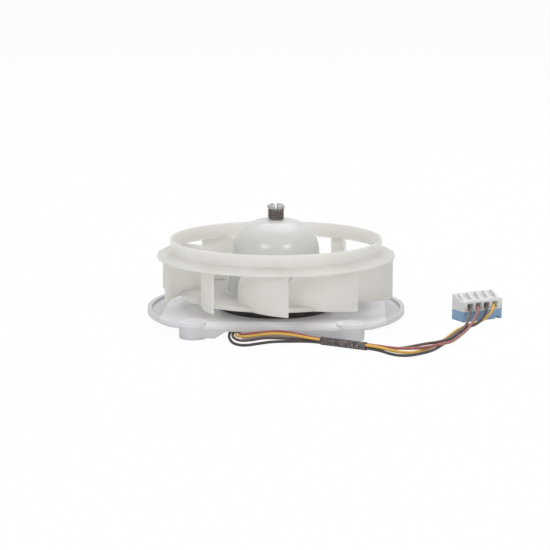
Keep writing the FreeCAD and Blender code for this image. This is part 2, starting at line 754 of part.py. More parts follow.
def build_plate():
    """Moulded plate: raised middle, lower wings with a rim, sloping edges, skirts, lugs and ribs."""
    body = new_body("mounting_plate")
    underside = size.plate_top - size.plate_thickness
    wing_end, wing_edge = size.plate_radius - size.wing_end_inset, size.plate_radius - size.wing_edge_inset
    wing_side = root(size.plate_radius * size.plate_radius - wing_end * wing_end)
    plan = new_sketch(body, "XY_Plane", underside)
    edge, corner = size.front_edge, size.front_corner
    draw_outline(plan, [(-corner, -edge), (corner, -edge), (wing_end, -wing_side, size.plate_radius),
                        (wing_end, wing_side), (corner, edge), (-corner, edge),
                        (-wing_end, wing_side, size.plate_radius), (-wing_end, -wing_side)])
    padded(body, plan, size.plate_thickness)

    rim_inner = size.plate_radius - size.rim_width
    wing_depth = root(rim_inner * rim_inner - wing_edge * wing_edge)
    wing = new_sketch(body, "XY_Plane", size.plate_top)
    for side in (1.0, -1.0):
        draw_outline(wing, [(wing_edge * side, -wing_depth * side, rim_inner),
                            (wing_edge * side, wing_depth * side)])
    cut_down(body, wing, size.wing_step)

    slope = new_sketch(body, "YZ_Plane")
    drop = (size.plate_top - size.slope_end_top) / (edge - size.slope_start)
    past = edge + 1.0
    for side in (1.0, -1.0):
        draw_outline(slope, [(size.slope_start * side, size.plate_top),
                             (past * side, size.plate_top - drop * (past - size.slope_start)),
                             (past * side, size.plate_top + 1.0),
                             (size.slope_start * side, size.plate_top + 1.0)])
    cut_both(body, slope, corner * 2)

    skirt = new_sketch(body, "XY_Plane", size.skirt_bottom)
    for side in (1.0, -1.0):
        draw_box(skirt, -size.lug_across, size.lug_across,
                 (edge - size.skirt_wall) * side, edge * side)
    padded(body, skirt, size.slope_end_top - size.skirt_bottom)

    ribs = new_sketch(body, "XY_Plane", size.rib_bottom)
    ring_inner = size.cover_radius + size.rib_ring_play
    draw_circle(ribs, 0.0, 0.0, ring_inner + size.rib_wall)
    draw_circle(ribs, 0.0, 0.0, ring_inner)
    padded(body, ribs, size.dish_floor - size.rib_bottom)
    radial = new_sketch(body, "XY_Plane", size.rib_bottom)
    half, ring = size.rib_wall / 2, ring_inner + size.rib_wall / 2
    reach = root(size.lug_across * size.lug_across + size.lug_along * size.lug_along)
    unit_x, unit_y = size.lug_across / reach, size.lug_along / reach
    for side_x, side_y in ((1, 1), (-1, 1), (-1, -1), (1, -1)):
        ux, uy = unit_x * float(side_x), unit_y * float(side_y)
        ends = [(ux * span - uy * offset, uy * span + ux * offset)
                for span, offset in ((ring, half), (ring, -half), (reach, -half), (reach, half))]
        draw_outline(radial, ends)
    padded(body, radial, underside - size.rib_bottom + 0.2)
    passage = new_sketch(body, "XY_Plane", size.rib_bottom)
    draw_passage(passage, ring_inner - 1.0, ring_inner + size.rib_wall + 1.0)
    cut_up(body, passage, underside - size.rib_bottom)

    lugs = new_sketch(body, "XY_Plane")
    bores = new_sketch(body, "XY_Plane")
    marks = new_sketch(body, "XY_Plane", size.plate_top)
    for side_x, side_y in ((1, 1), (-1, 1), (-1, -1), (1, -1)):
        x, y = size.lug_across * float(side_x), size.lug_along * float(side_y)
        draw_circle(lugs, x, y, size.lug_radius)
        draw_circle(bores, x, y, size.lug_bore_radius)
        for mark in (1.0, -1.0):
            draw_circle(marks, x + size.lug_mark_offset * mark, y, size.lug_mark_radius)
    standing = padded(body, lugs, size.plate_top)
    rounded(body, standing, 0.0, size.lug_radius, size.lug_edge)
    cut_up(body, bores, size.lug_bore_depth)
    cut_down(body, marks, size.lug_mark_depth)

    top = size.plate_top + 1.0
    inside = size.plate_bore - 1.0
    bored(body, [(inside, size.dish_floor), (size.dish_floor_radius, size.dish_floor),
                 (size.dish_radius, size.plate_top), (size.dish_radius, top), (inside, top)])
    bore = new_sketch(body, "XY_Plane", size.plate_top)
    draw_circle(bore, 0.0, 0.0, size.plate_bore)
    cut_down(body, bore, size.plate_thickness + 1.0)
    screws = new_sketch(body, "XY_Plane", size.plate_top)
    for turn in SCREW_TURNS:
        draw_circle(screws, size.screw_circle * cosine(turn), size.screw_circle * sine(turn),
                    size.screw_radius + size.screw_play)
    cut_down(body, screws, size.plate_thickness + 1.0)

    notch = new_sketch(body, "XZ_Plane", size.front_edge - size.skirt_wall - 1.0)
    low = size.skirt_bottom - 0.5
    draw_outline(notch, [(size.notch_left, low), (size.notch_right, low),
                         (size.notch_right, size.notch_top), (size.notch_peak, size.notch_top)])
    cut_up(body, notch, size.skirt_wall + 2.0)


def build_cover():
    """End cover under the plate: holds the lower bearing and the board, lets the wires out."""
    body = new_body("end_cover")
    underside = size.plate_top - size.plate_thickness
    floor = size.cover_bottom + size.cover_floor
    cup = size.bearing_radius + size.seat_play
    cup_outer = cup + size.bearing_cup_wall
    cup_top = size.lower_bearing_bottom + size.bearing_length
    turned(body, [(0.0, size.cover_bottom), (size.cover_radius - size.cover_edge, size.cover_bottom),
                  (size.cover_radius, size.cover_bottom + size.cover_edge), (size.cover_radius, underside),
                  (size.cover_cavity_radius, underside), (size.cover_cavity_radius, floor),
                  (cup_outer, floor), (cup_outer, cup_top), (cup, cup_top), (cup, floor), (0.0, floor)])
    posts = new_sketch(body, "XY_Plane", floor)
    for turn in POST_TURNS:
        draw_circle(posts, size.post_circle * cosine(turn), size.post_circle * sine(turn), size.post_radius)
    padded(body, posts, size.board_bottom - floor)
    holes = new_sketch(body, "XY_Plane", size.cover_bottom)
    heads = new_sketch(body, "XY_Plane", size.cover_bottom)
    for turn in SCREW_TURNS:
        x, y = size.screw_circle * cosine(turn), size.screw_circle * sine(turn)
        draw_circle(holes, x, y, size.screw_radius + size.screw_play)
        draw_circle(heads, x, y, size.screw_head_radius + size.screw_play)
    cut_up(body, holes, underside)
    cut_up(body, heads, size.screw_recess)
    outlet = new_sketch(body, "XY_Plane", floor)
    draw_passage(outlet, size.cover_cavity_radius - 1.0, size.cover_radius + 1.0)
    cut_up(body, outlet, underside)
    pad = new_body("thrust_pad")
    turned(pad, [(0.0, floor), (size.washer_radius, floor),
                 (size.washer_radius, floor + size.washer_thickness), (0.0, floor + size.washer_thickness)])


def build_screws():
    """Three pan-head screws that hold the cover, the plate and the housing together."""
    body = new_body("cover_screws")
    seat = size.cover_bottom + size.screw_recess
    for turn in SCREW_TURNS:
        x, y = size.screw_circle * cosine(turn), size.screw_circle * sine(turn)
        for height, radius, length, down in ((seat, size.screw_head_radius, size.screw_head_height, True),
                                             (seat, size.screw_radius, size.screw_top - seat, False)):
            sketch = new_sketch(body, "XY_Plane", height)
            draw_circle(sketch, x, y, radius)
            padded(body, sketch, length).Reversed = down


def place_connector(body):
    """Puts a piece drawn in the connector's own frame where the connector lies."""
    bind(body, "Placement.Base.x", size.connector_centre_across)
    bind(body, "Placement.Base.y", size.connector_centre_along)
    bind(body, "Placement.Rotation.Angle", size.connector_turn)


def build_connector():
    """Four-way connector on its side: white housing with open cells, blue half below, contacts."""
    half = size.connector_width / 2
    housing = new_body("connector_housing")
    plan = new_sketch(housing, "XY_Plane", size.connector_joint)
    draw_box(plan, -half, half, 0.0, size.connector_depth)
    padded(housing, plan, size.connector_top - size.connector_joint)
    cells = new_sketch(housing, "XZ_Plane")
    for place in (-1.5, -0.5, 0.5, 1.5):
        middle = size.cell_pitch * place
        draw_box(cells, middle - size.cell_width / 2, middle + size.cell_width / 2,
                 size.cell_bottom, size.cell_top)
    cut_down(housing, cells, size.cell_depth)
    teeth = new_sketch(housing, "YZ_Plane")
    crest, back = size.connector_top + size.tooth_rise, size.connector_depth
    draw_outline(teeth, [(size.tooth_root, size.connector_top), (back, size.connector_top),
                         (back, crest), (back - size.tooth_length / 2, crest)])
    ridge = padded(housing, teeth, size.connector_width)
    ridge.Midplane = True
    gaps = new_sketch(housing, "XZ_Plane")
    for place in (-2.0, -1.0, 0.0, 1.0, 2.0):
        middle = size.cell_pitch * place
        draw_box(gaps, middle - size.cell_width / 4, middle + size.cell_width / 4,
                 size.connector_top, crest + 1.0)
    cut_down(housing, gaps, size.connector_depth + 1.0)
    place_connector(housing)

    lower = new_body("connector_lock")
    plan = new_sketch(lower, "XY_Plane")
    draw_box(plan, -half, half, 0.0, size.connector_depth)
    padded(lower, plan, size.connector_joint)
    notches = new_sketch(lower, "XZ_Plane")
    for side in (1.0, -1.0):
        outer = (half - size.latch_notch_inset) * side
        inner = (half - size.latch_notch_inset - size.latch_notch_width) * side
        draw_box(notches, inner, outer, 0.0, size.latch_notch_height)
    cut_down(lower, notches, size.connector_depth)
    place_connector(lower)

    contacts = new_body("contacts")
    face = new_sketch(contacts, "XZ_Plane", -(size.cell_depth - size.crimp_length))
    level = (size.cell_bottom + size.cell_top) / 2
    for place in (-1.5, -0.5, 0.5, 1.5):
        middle = size.cell_pitch * place
        draw_box(face, middle - size.crimp_side / 2, middle + size.crimp_side / 2,
                 level - size.crimp_side / 2, level + size.crimp_side / 2)
    padded(contacts, face, size.crimp_length).Reversed = True
    place_connector(contacts)


def arc_run(route):
    """Straight runs joined by tangent arcs, each as large as its two runs allow."""
    edges, radii, start = [], [], route[0]
    for before, corner, after in zip(route, route[1:], route[2:]):
        inward, outward = corner - before, after - corner
        turn = inward.getAngle(outward)
        reach = 0.45 * min(inward.Length, outward.Length)
        first = corner - FreeCAD.Vector(inward).normalize() * reach
        last = corner + FreeCAD.Vector(outward).normalize() * reach
        radius = reach / math.tan(turn / 2)
        towards = (first + last) * 0.5 - corner
        centre_distance = radius / math.cos(turn / 2)
        middle = corner + towards.normalize() * (centre_distance - radius)
        edges.append(Part.LineSegment(start, first).toShape())
        edges.append(Part.Arc(first, middle, last).toShape())
        radii.append(radius)
        start = last
    edges.append(Part.LineSegment(start, route[-1]).toShape())
    return Part.Wire(edges), radii


def tube(route, radius):
    """A round bar along the route."""
    path, radii = arc_run(route)
    along = (route[1] - route[0]).normalize()
    ring = Part.Wire([Part.makeCircle(radius, route[0], along)])
    bar = path.makePipeShell([ring], True, False, 2)
    return bar, path.Length, radii


def add_feature(label, shape):
    feature = document.addObject("Part::Feature", label)
    feature.Label = label
    feature.Shape = shape
    feature.Placement = FreeCAD.Placement()
    pieces[label] = feature


def build_wires():
    """The four insulated wires and the shrink sleeve that holds them together."""
    radius = size.wire_diameter.number / 2
    for label, points in WIRE_ROUTES.items():
        route = [FreeCAD.Vector(*point) for point in points]
        if label == "shrink_sleeve":
            bore = size.sleeve_bore.number / 2
            outer, length, radii = tube(route, bore + size.sleeve_wall.number)
            shape = outer.cut(tube(route, bore)[0])
        else:
            shape, length, radii = tube(route, radius)
            section = math.pi * radius ** 2
            print(f"{label}: volume over section times length {shape.Volume / (section * length):.4f}")
        print(f"{label}: length {length:.1f}, smallest bend radius {min(radii):.1f}")
        add_feature(label, shape)


def check_and_export():
    """Stops on any failed object or bad shape, then writes one file for each sub-part."""
    document.recompute()
    faults = []
    for item in document.Objects:
        if any(word in item.State for word in ("Invalid", "Error")):
            owners = [label for label, body in pieces.items() if body in item.InListRecursive]
            faults.append(f"{item.Name} of {owners}")
        if item.TypeId == "Sketcher::SketchObject" and not item.FullyConstrained:
            faults.append(f"{item.Name} isn't fully constrained")
    for label, piece in pieces.items():
        if piece.Shape.isNull() or not piece.Shape.isValid() or piece.Shape.Volume <= 0:
            faults.append(f"{label} has a bad shape")
    if faults:
        sys.exit("Failed: " + "; ".join(faults))
    os.makedirs("parts", exist_ok=True)
    for label, piece in pieces.items():
        piece.Shape.exportStep(f"parts/{label}.step")
        print(f"{label:18s} solids {len(piece.Shape.Solids)} volume {piece.Shape.Volume:9.1f}")


build_plate()
build_cover()
build_housing()
build_screws()
build_bearing("lower_bearing", size.lower_bearing_bottom)
build_bearing("upper_bearing", size.upper_bearing_bottom)
build_stator()
build_board()
build_shaft()
build_rotor()
build_impeller()
build_clamp_spring()
build_connector()
build_wires()
check_and_export()
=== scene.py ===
import json
import logging
import math
from dataclasses import dataclass
from enum import Enum
from typing import Sequence, Union

import bmesh
import bpy
import numpy as np
from bpy.types import Material, Mesh, Node, NodeSocket, Object
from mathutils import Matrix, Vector

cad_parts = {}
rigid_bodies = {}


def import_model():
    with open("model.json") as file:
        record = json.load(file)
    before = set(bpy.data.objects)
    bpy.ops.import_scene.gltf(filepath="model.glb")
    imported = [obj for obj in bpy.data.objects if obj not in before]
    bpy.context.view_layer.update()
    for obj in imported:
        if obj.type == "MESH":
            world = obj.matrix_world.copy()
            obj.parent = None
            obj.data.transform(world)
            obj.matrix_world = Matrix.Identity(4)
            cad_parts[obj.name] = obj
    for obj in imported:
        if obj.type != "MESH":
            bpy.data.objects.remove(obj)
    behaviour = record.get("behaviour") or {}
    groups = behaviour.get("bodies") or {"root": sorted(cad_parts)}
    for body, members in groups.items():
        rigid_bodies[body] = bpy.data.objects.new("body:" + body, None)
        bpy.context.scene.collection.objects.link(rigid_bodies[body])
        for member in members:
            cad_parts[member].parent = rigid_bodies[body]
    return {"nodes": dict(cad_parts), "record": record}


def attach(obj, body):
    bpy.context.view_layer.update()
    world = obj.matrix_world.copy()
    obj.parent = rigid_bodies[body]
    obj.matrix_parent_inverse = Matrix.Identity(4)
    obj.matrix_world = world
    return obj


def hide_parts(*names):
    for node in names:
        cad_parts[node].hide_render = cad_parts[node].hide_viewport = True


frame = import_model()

LOG = logging.getLogger("fan_motor")
MM = 0.001
FINISH_PREFIX = "finish_"
Colour = tuple[float, float, float]
Point = tuple[float, float, float]
Corner = tuple[float, float]
Number = Union[float, "Signal"]
WHITE: Colour = (1.0, 1.0, 1.0)
EDGE_SEGMENTS = 2
EDGE_ANGLE = math.radians(32.0)
CORD_STEPS = 12
CORD_ROUNDNESS = 4


def linear(red: int, green: int, blue: int) -> Colour:
    """Turns a display colour of 0 to 255 into the linear colour that a shader takes.

    Args:
        red: Red channel.
        green: Green channel.
        blue: Blue channel.

    Returns:
        The three linear channels.
    """
    def channel(value: int) -> float:
        """One channel from display to linear."""
        share = value / 255
        return share / 12.92 if share <= 0.04045 else ((share + 0.055) / 1.055) ** 2.4
    return channel(red), channel(green), channel(blue)


def shaded(colour: Colour, share: float) -> Colour:
    """A colour made darker, or lighter with a share above 1."""
    return tuple(min(1.0, channel * share) for channel in colour)


class Signal:
    """A number in a shader tree; Python's operators on it add Math nodes."""

    def __init__(self, owner: "NodeTree", socket: NodeSocket) -> None:
        """Wraps the output socket of one of a tree's nodes."""
        self.owner = owner
        self.socket = socket

    def _joined(self, operation: str, first: Number, second: Number) -> "Signal":
        """Adds one Math node with two values and gives its result."""
        node = self.owner.node("ShaderNodeMath", {"operation": operation}, [first, second])
        return Signal(self.owner, node.outputs[0])

    def __add__(self, other: Number) -> "Signal":
        """Sum."""
        return self._joined("ADD", self, other)

    __radd__ = __add__

    def __sub__(self, other: Number) -> "Signal":
        """Difference."""
        return self._joined("SUBTRACT", self, other)

    def __rsub__(self, other: Number) -> "Signal":
        """Difference with the number first."""
        return self._joined("SUBTRACT", other, self)

    def __mul__(self, other: Number) -> "Signal":
        """Product."""
        return self._joined("MULTIPLY", self, other)

    __rmul__ = __mul__

    def at_least(self, other: Number) -> "Signal":
        """The larger of the two."""
        return self._joined("MAXIMUM", self, other)

    def size(self) -> "Signal":
        """The number without its sign."""
        return self._joined("ABSOLUTE", self, 0.0)

    def diagonal(self, other: "Signal") -> "Signal":
        """How far from the origin a point with these two coordinates is."""
        return self._joined("SQRT", self * self + other * other, 0.0)

    def sine(self) -> "Signal":
        """The sine of an angle."""
        return self._joined("SINE", self, 0.0)

    def swing(self, amount: float) -> "Signal":
        """Noise about 0.5 made into a swing about 0, half the amount each way."""
        return (self - 0.5) * amount

    def between(self, low: float, high: float) -> "Signal":
        """Rises smoothly from 0 at low to 1 at high."""
        node = self.owner.node("ShaderNodeMapRange", {"interpolation_type": "SMOOTHSTEP"},
                               {"Value": self, "From Min": low, "From Max": high})
        return Signal(self.owner, node.outputs[0])


class NodeTree:
    """Fills one node tree: a finish's, the room's or a recipe's."""

    def __init__(self, tree: bpy.types.NodeTree) -> None:
        """Takes over a tree and empties it."""
        self.tree = tree
        tree.nodes.clear()

    def node(self, kind: str, settings: dict | None = None,
             values: Union[Sequence, dict, None] = None) -> Node:
        """Adds any node: settings first, then the values or links of its sockets.

        Args:
            kind: The node's type.
            settings: Attributes, such as an operation; "stops" sets a ramp's two stops.
            values: Socket values by name or in order; a Signal or a socket is linked.

        Returns:
            The new node.
        """
        made = self.tree.nodes.new(kind)
        for key, value in (settings or {}).items():
            if key == "stops":
                for element, (position, colour) in zip(made.color_ramp.elements, value):
                    element.position, element.color = position, (*colour, 1.0)
            else:
                setattr(made, key, value)
        pairs = values.items() if isinstance(values, dict) else enumerate(values or [])
        for key, value in pairs:
            self._feed(made.inputs[key], value)
        return made

    def _feed(self, target: NodeSocket, value: object) -> None:
        """Links or sets one input.

        Args:
            target: The input socket.
            value: A Signal, an output socket, a number or a tuple.
        """
        if isinstance(value, Signal):
            self.tree.links.new(value.socket, target)
        elif isinstance(value, NodeSocket):
            self.tree.links.new(value, target)
        elif isinstance(value, tuple) and target.type == "RGBA":
            target.default_value = (*value, 1.0)
        else:
            target.default_value = value

    def mixed(self, share: Number, first: Node, second: Node) -> NodeSocket:
        """Mixes two nodes' surfaces: a share of 0 gives the first and 1 the second."""
        surfaces = [share, first.outputs[0], second.outputs[0]]
        return self.node("ShaderNodeMixShader", None, surfaces).outputs[0]

    def seen_directly(self) -> Signal:
        """1 on the rays that see the white background: from the camera, mirrored or let through.

        Returns:
            The share, 0 or 1.
        """
        ray = self.node("ShaderNodeLightPath")
        camera, glossy, through = (Signal(self, ray.outputs[f"Is {kind} Ray"])
                                   for kind in ("Camera", "Glossy", "Transmission"))
        return camera.at_least(glossy).at_least(through)


class Shader(NodeTree):
    """Builds one material's node tree."""

    def __init__(self, name: str) -> None:
        """Starts an empty material.

        Args:
            name: The material's name, without the prefix that keeps it apart from the frame's own.
        """
        self.material = bpy.data.materials.new(FINISH_PREFIX + name)
        self.material.use_nodes = True
        super().__init__(self.material.node_tree)

    def place(self) -> NodeSocket:
        """The point on the object, in metres."""
        return self.node("ShaderNodeTexCoord").outputs["Object"]

    def axes(self) -> tuple[Signal, Signal, Signal]:
        """The point's three coordinates as numbers."""
        split = self.node("ShaderNodeSeparateXYZ", None, [self.place()])
        return tuple(Signal(self, output) for output in split.outputs)

    def noise(self, scale: float, detail: float = 3.0, roughness: float = 0.5,
              stretch: Point = (1.0, 1.0, 1.0)) -> Signal:
        """Even noise over the object.

        Args:
            scale: Features per metre.
            detail: Octaves.
            roughness: Share of the finer octaves.
            stretch: Scale of each axis before the noise.

        Returns:
            The noise, about 0 to 1.
        """
        where = self.node("ShaderNodeMapping", None, {"Vector": self.place(), "Scale": stretch})
        made = self.node("ShaderNodeTexNoise", None, {
            "Vector": where.outputs[0], "Scale": scale, "Detail": detail, "Roughness": roughness})
        return Signal(self, made.outputs["Fac"])

    def cloud(self, scale: float) -> Signal:
        """Broad, soft unevenness, as flow leaves in a moulding."""
        return self.noise(scale, detail=4.0, roughness=0.55)

    def grain(self, scale: float) -> Signal:
        """The fine grain of an eroded tool."""
        return self.noise(scale, detail=2.0, roughness=0.6)

    def ramp(self, share: Signal, low: Colour, high: Colour, reach: float) -> NodeSocket:
        """A colour that goes from low to high while the share crosses 0.5 by the reach."""
        stops = [(0.5 - reach, low), (0.5 + reach, high)]
        return self.node("ShaderNodeValToRGB", {"stops": stops}, [share]).outputs["Color"]

    def blend(self, share: Number, first: object, second: object) -> NodeSocket:
        """Mixes two colours or sockets: a share of 0 gives the first and 1 the second."""
        made = self.node("ShaderNodeMix", {"data_type": "RGBA"}, {0: share, 6: first, 7: second})
        return made.outputs[2]

    def bump(self, height: Signal, distance: float) -> NodeSocket:
        """The normal bent by a height, where a height of 1 is this many metres."""
        made = self.node("ShaderNodeBump", None, {"Height": height, "Distance": distance})
        return made.outputs[0]

    def close(self, surface: NodeSocket) -> Material:
        """Ends the tree with a surface and gives the material."""
        self.node("ShaderNodeOutputMaterial", None, [surface])
        return self.material

    def finish(self, values: dict) -> Material:
        """Ends the tree with one Principled shader that has these socket values."""
        return self.close(self.node("ShaderNodeBsdfPrincipled", None, values).outputs[0])


@dataclass(frozen=True)
class Moulding:
    """A moulded polymer: eroded-tool grain, faint flow marks and a slightly uneven gloss."""

    name: str
    colour: Colour
    roughness: float = 0.42
    grain: float = 0.00002
    grain_scale: float = 2600.0
    cloud_scale: float = 38.0
    shade_share: float = 0.04
    cloud_gloss: float = 0.12
    grain_gloss: float = 0.08
    specular: float = 0.45

    def build(self) -> Material:
        """Makes the material."""
        shader = Shader(self.name)
        cloud, fine = shader.cloud(self.cloud_scale), shader.grain(self.grain_scale)
        low, high = (shaded(self.colour, 1 + sign * self.shade_share) for sign in (-1, 1))
        return shader.finish({
            "Base Color": shader.ramp(cloud, low, high, reach=0.2),
            "Roughness": (self.roughness + cloud.swing(self.cloud_gloss)
                          + fine.swing(self.grain_gloss)),
            "Specular IOR Level": self.specular, "Normal": shader.bump(fine, self.grain)})


@dataclass(frozen=True)
class Milky:
    """Unfilled polymer that lets part of the light through its walls, less of it within the core.

    Above tip_bottom the colour is painted a shade darker, as painted shade.
    """

    name: str
    colour: Colour
    glow: Colour
    through: float = 0.42
    roughness: float = 0.3
    core: float = 0.0
    core_share: float = 0.42
    tip_bottom: float = 1.0
    tip_shade: float = 0.62
    cloud_scale: float = 55.0
    cloud_weight: float = 0.6
    cloud_gloss: float = 0.14
    cloud_through: float = 0.12
    flow_scale: float = 160.0
    flow_stretch: Point = (1.0, 1.0, 0.12)
    grain_scale: float = 2600.0
    grain_gloss: float = 0.08
    grain: float = 0.00003
    low_shade: float = 0.93

    def build(self) -> Material:
        """Makes the material."""
        shader = Shader(self.name)
        cloud = shader.cloud(self.cloud_scale)
        flow = shader.noise(self.flow_scale, stretch=self.flow_stretch)
        fine = shader.grain(self.grain_scale)
        across, along, up = shader.axes()
        outward = across.diagonal(along)
        uneven = cloud * self.cloud_weight + flow * (1 - self.cloud_weight)
        tint = shader.ramp(uneven, shaded(self.colour, self.low_shade), self.colour, reach=0.15)
        # Painted shade: above tip_bottom the colour darkens towards tip_shade.
        painted_tip_shade = up.between(self.tip_bottom, self.tip_bottom + 0.3 * MM)
        skin = shader.node("ShaderNodeBsdfPrincipled", None, {
            "Base Color": shader.blend(painted_tip_shade, tint, shaded(self.colour, self.tip_shade)),
            "Roughness": (self.roughness + cloud.swing(self.cloud_gloss)
                          + fine.swing(self.grain_gloss)),
            "Normal": shader.bump(fine * 0.5 + flow * 0.5, self.grain)})
        inside = shader.node("ShaderNodeBsdfTranslucent", None, {"Color": self.glow})
        shell = outward.between(self.core - MM, self.core + MM)
        free = self.core_share + shell * (1 - self.core_share)
        share = free * self.through + cloud.swing(self.cloud_through)
        return shader.close(shader.mixed(share, skin, inside))


@dataclass(frozen=True)
class PlateFinish:
    """Moulded plate: fine grain, darker wings, painted shade on the walls and lighter lug pads."""

    name: str
    colour: Colour
    wing_colour: Colour
    wing_edge: float
    wing_radius: float
    side_top: float = 0.0056
    side_share: float = 0.7
    rim_share: float = 0.6
    lug_place: Corner = (0.033, 0.0356)
    lug_radius: float = 0.006
    lug_shade: float = 1.1
    lug_rise: float = 3.0
    low_shade: float = 0.95
    step: float = 0.0002
    roughness: float = 0.42
    wing_roughness: float = 0.12
    cloud_scale: float = 30.0
    cloud_gloss: float = 0.14
    grain_scale: float = 2400.0
    grain_gloss: float = 0.1
    grain: float = 0.00003
    specular: float = 0.45

    def build(self) -> Material:
        """Makes the material."""
        shader = Shader(self.name)
        cloud, fine = shader.cloud(self.cloud_scale), shader.grain(self.grain_scale)
        across, along, up = shader.axes()
        reach, depth = across.size(), along.size()
        # Painted highlight: beyond wing_radius the rounded outer edge keeps only part of the
        # wing's darker grey.
        painted_rim_highlight = across.diagonal(along).between(self.wing_radius - self.step,
                                             self.wing_radius + self.step)
        wing = reach.between(self.wing_edge - self.step, self.wing_edge + self.step)
        wing = wing * (1 - painted_rim_highlight * (1 - self.rim_share))
        # Painted shade: the walls below this height are painted darker than the lit tops.
        painted_wall_shade = 1 - up.between(self.side_top - self.step, self.side_top + self.step)
        from_lug = (reach - self.lug_place[0]).diagonal(depth - self.lug_place[1])
        pad = 1 - from_lug.between(self.lug_radius - self.step, self.lug_radius)
        top = shader.ramp(cloud, shaded(self.colour, self.low_shade), self.colour, reach=0.15)
        top = shader.blend(pad, top, shaded(self.colour, self.lug_shade))
        return shader.finish({
            # The wings take the darker grey, and the walls take part of it as painted shade.
            "Base Color": shader.blend(wing.at_least(painted_wall_shade * self.side_share), top,
                                       self.wing_colour),
            "Roughness": (self.roughness + cloud.swing(self.cloud_gloss)
                          + fine.swing(self.grain_gloss) + wing * self.wing_roughness),
            "Specular IOR Level": self.specular,
            "Normal": shader.bump(fine + pad * self.lug_rise, self.grain)})


@dataclass(frozen=True)
class Metal:
    """A metal surface with turning or drawing marks along one axis."""

    name: str
    colour: Colour
    roughness: float = 0.35
    stretch: Point = (1.0, 1.0, 0.05)
    metallic: float = 1.0
    mark_scale: float = 3000.0
    mark_gloss: float = 0.2
    mark_depth: float = 0.00001
    patch_scale: float = 220.0
    patch_shade: float = 0.82

    def build(self) -> Material:
        """Makes the material."""
        shader = Shader(self.name)
        marks = shader.noise(self.mark_scale, roughness=0.6, stretch=self.stretch)
        patches = shader.noise(self.patch_scale)
        low = shaded(self.colour, self.patch_shade)
        return shader.finish({
            "Base Color": shader.ramp(patches, low, self.colour, reach=0.25),
            "Metallic": self.metallic, "Roughness": self.roughness + marks.swing(self.mark_gloss),
            "Normal": shader.bump(marks, self.mark_depth)})


@dataclass(frozen=True)
class Insulation:
    """Extruded insulation: soft gloss, fine grain and a tint of dust in specks."""

    name: str
    colour: Colour
    dusty: Colour
    roughness: float = 0.38
    speckle: float = 420.0
    cover: float = 0.5
    dust_gloss: float = 0.18
    grain_scale: float = 5200.0
    grain: float = 0.00002

    def build(self) -> Material:
        """Makes the material."""
        shader = Shader(self.name)
        dust = shader.noise(self.speckle, detail=4.0, roughness=0.6)
        fine = shader.noise(self.grain_scale, detail=2.0)
        specks = dust.between(0.48, 0.8 - 0.2 * self.cover) * self.cover
        return shader.finish({
            "Base Color": shader.blend(specks, self.colour, self.dusty),
            "Roughness": self.roughness + dust * self.dust_gloss,
            "Normal": shader.bump(fine + dust * 2.0, self.grain)})


@dataclass(frozen=True)
class Laminate:
    """Circuit board: solder mask with faint copper tracks under it."""

    name: str
    mask: Colour
    track: Colour
    slant: float = 0.6
    waves: float = 2600.0
    roughness: float = 0.35
    track_roughness: float = 0.1
    track_rise: float = 0.00003

    def build(self) -> Material:
        """Makes the material."""
        shader = Shader(self.name)
        across, along, _ = shader.axes()
        tracks = ((across + along * self.slant) * self.waves).sine().between(0.55, 0.75)
        return shader.finish({"Base Color": shader.blend(tracks, self.mask, self.track),
                              "Roughness": self.roughness + tracks * self.track_roughness,
                              "Normal": shader.bump(tracks, self.track_rise)})


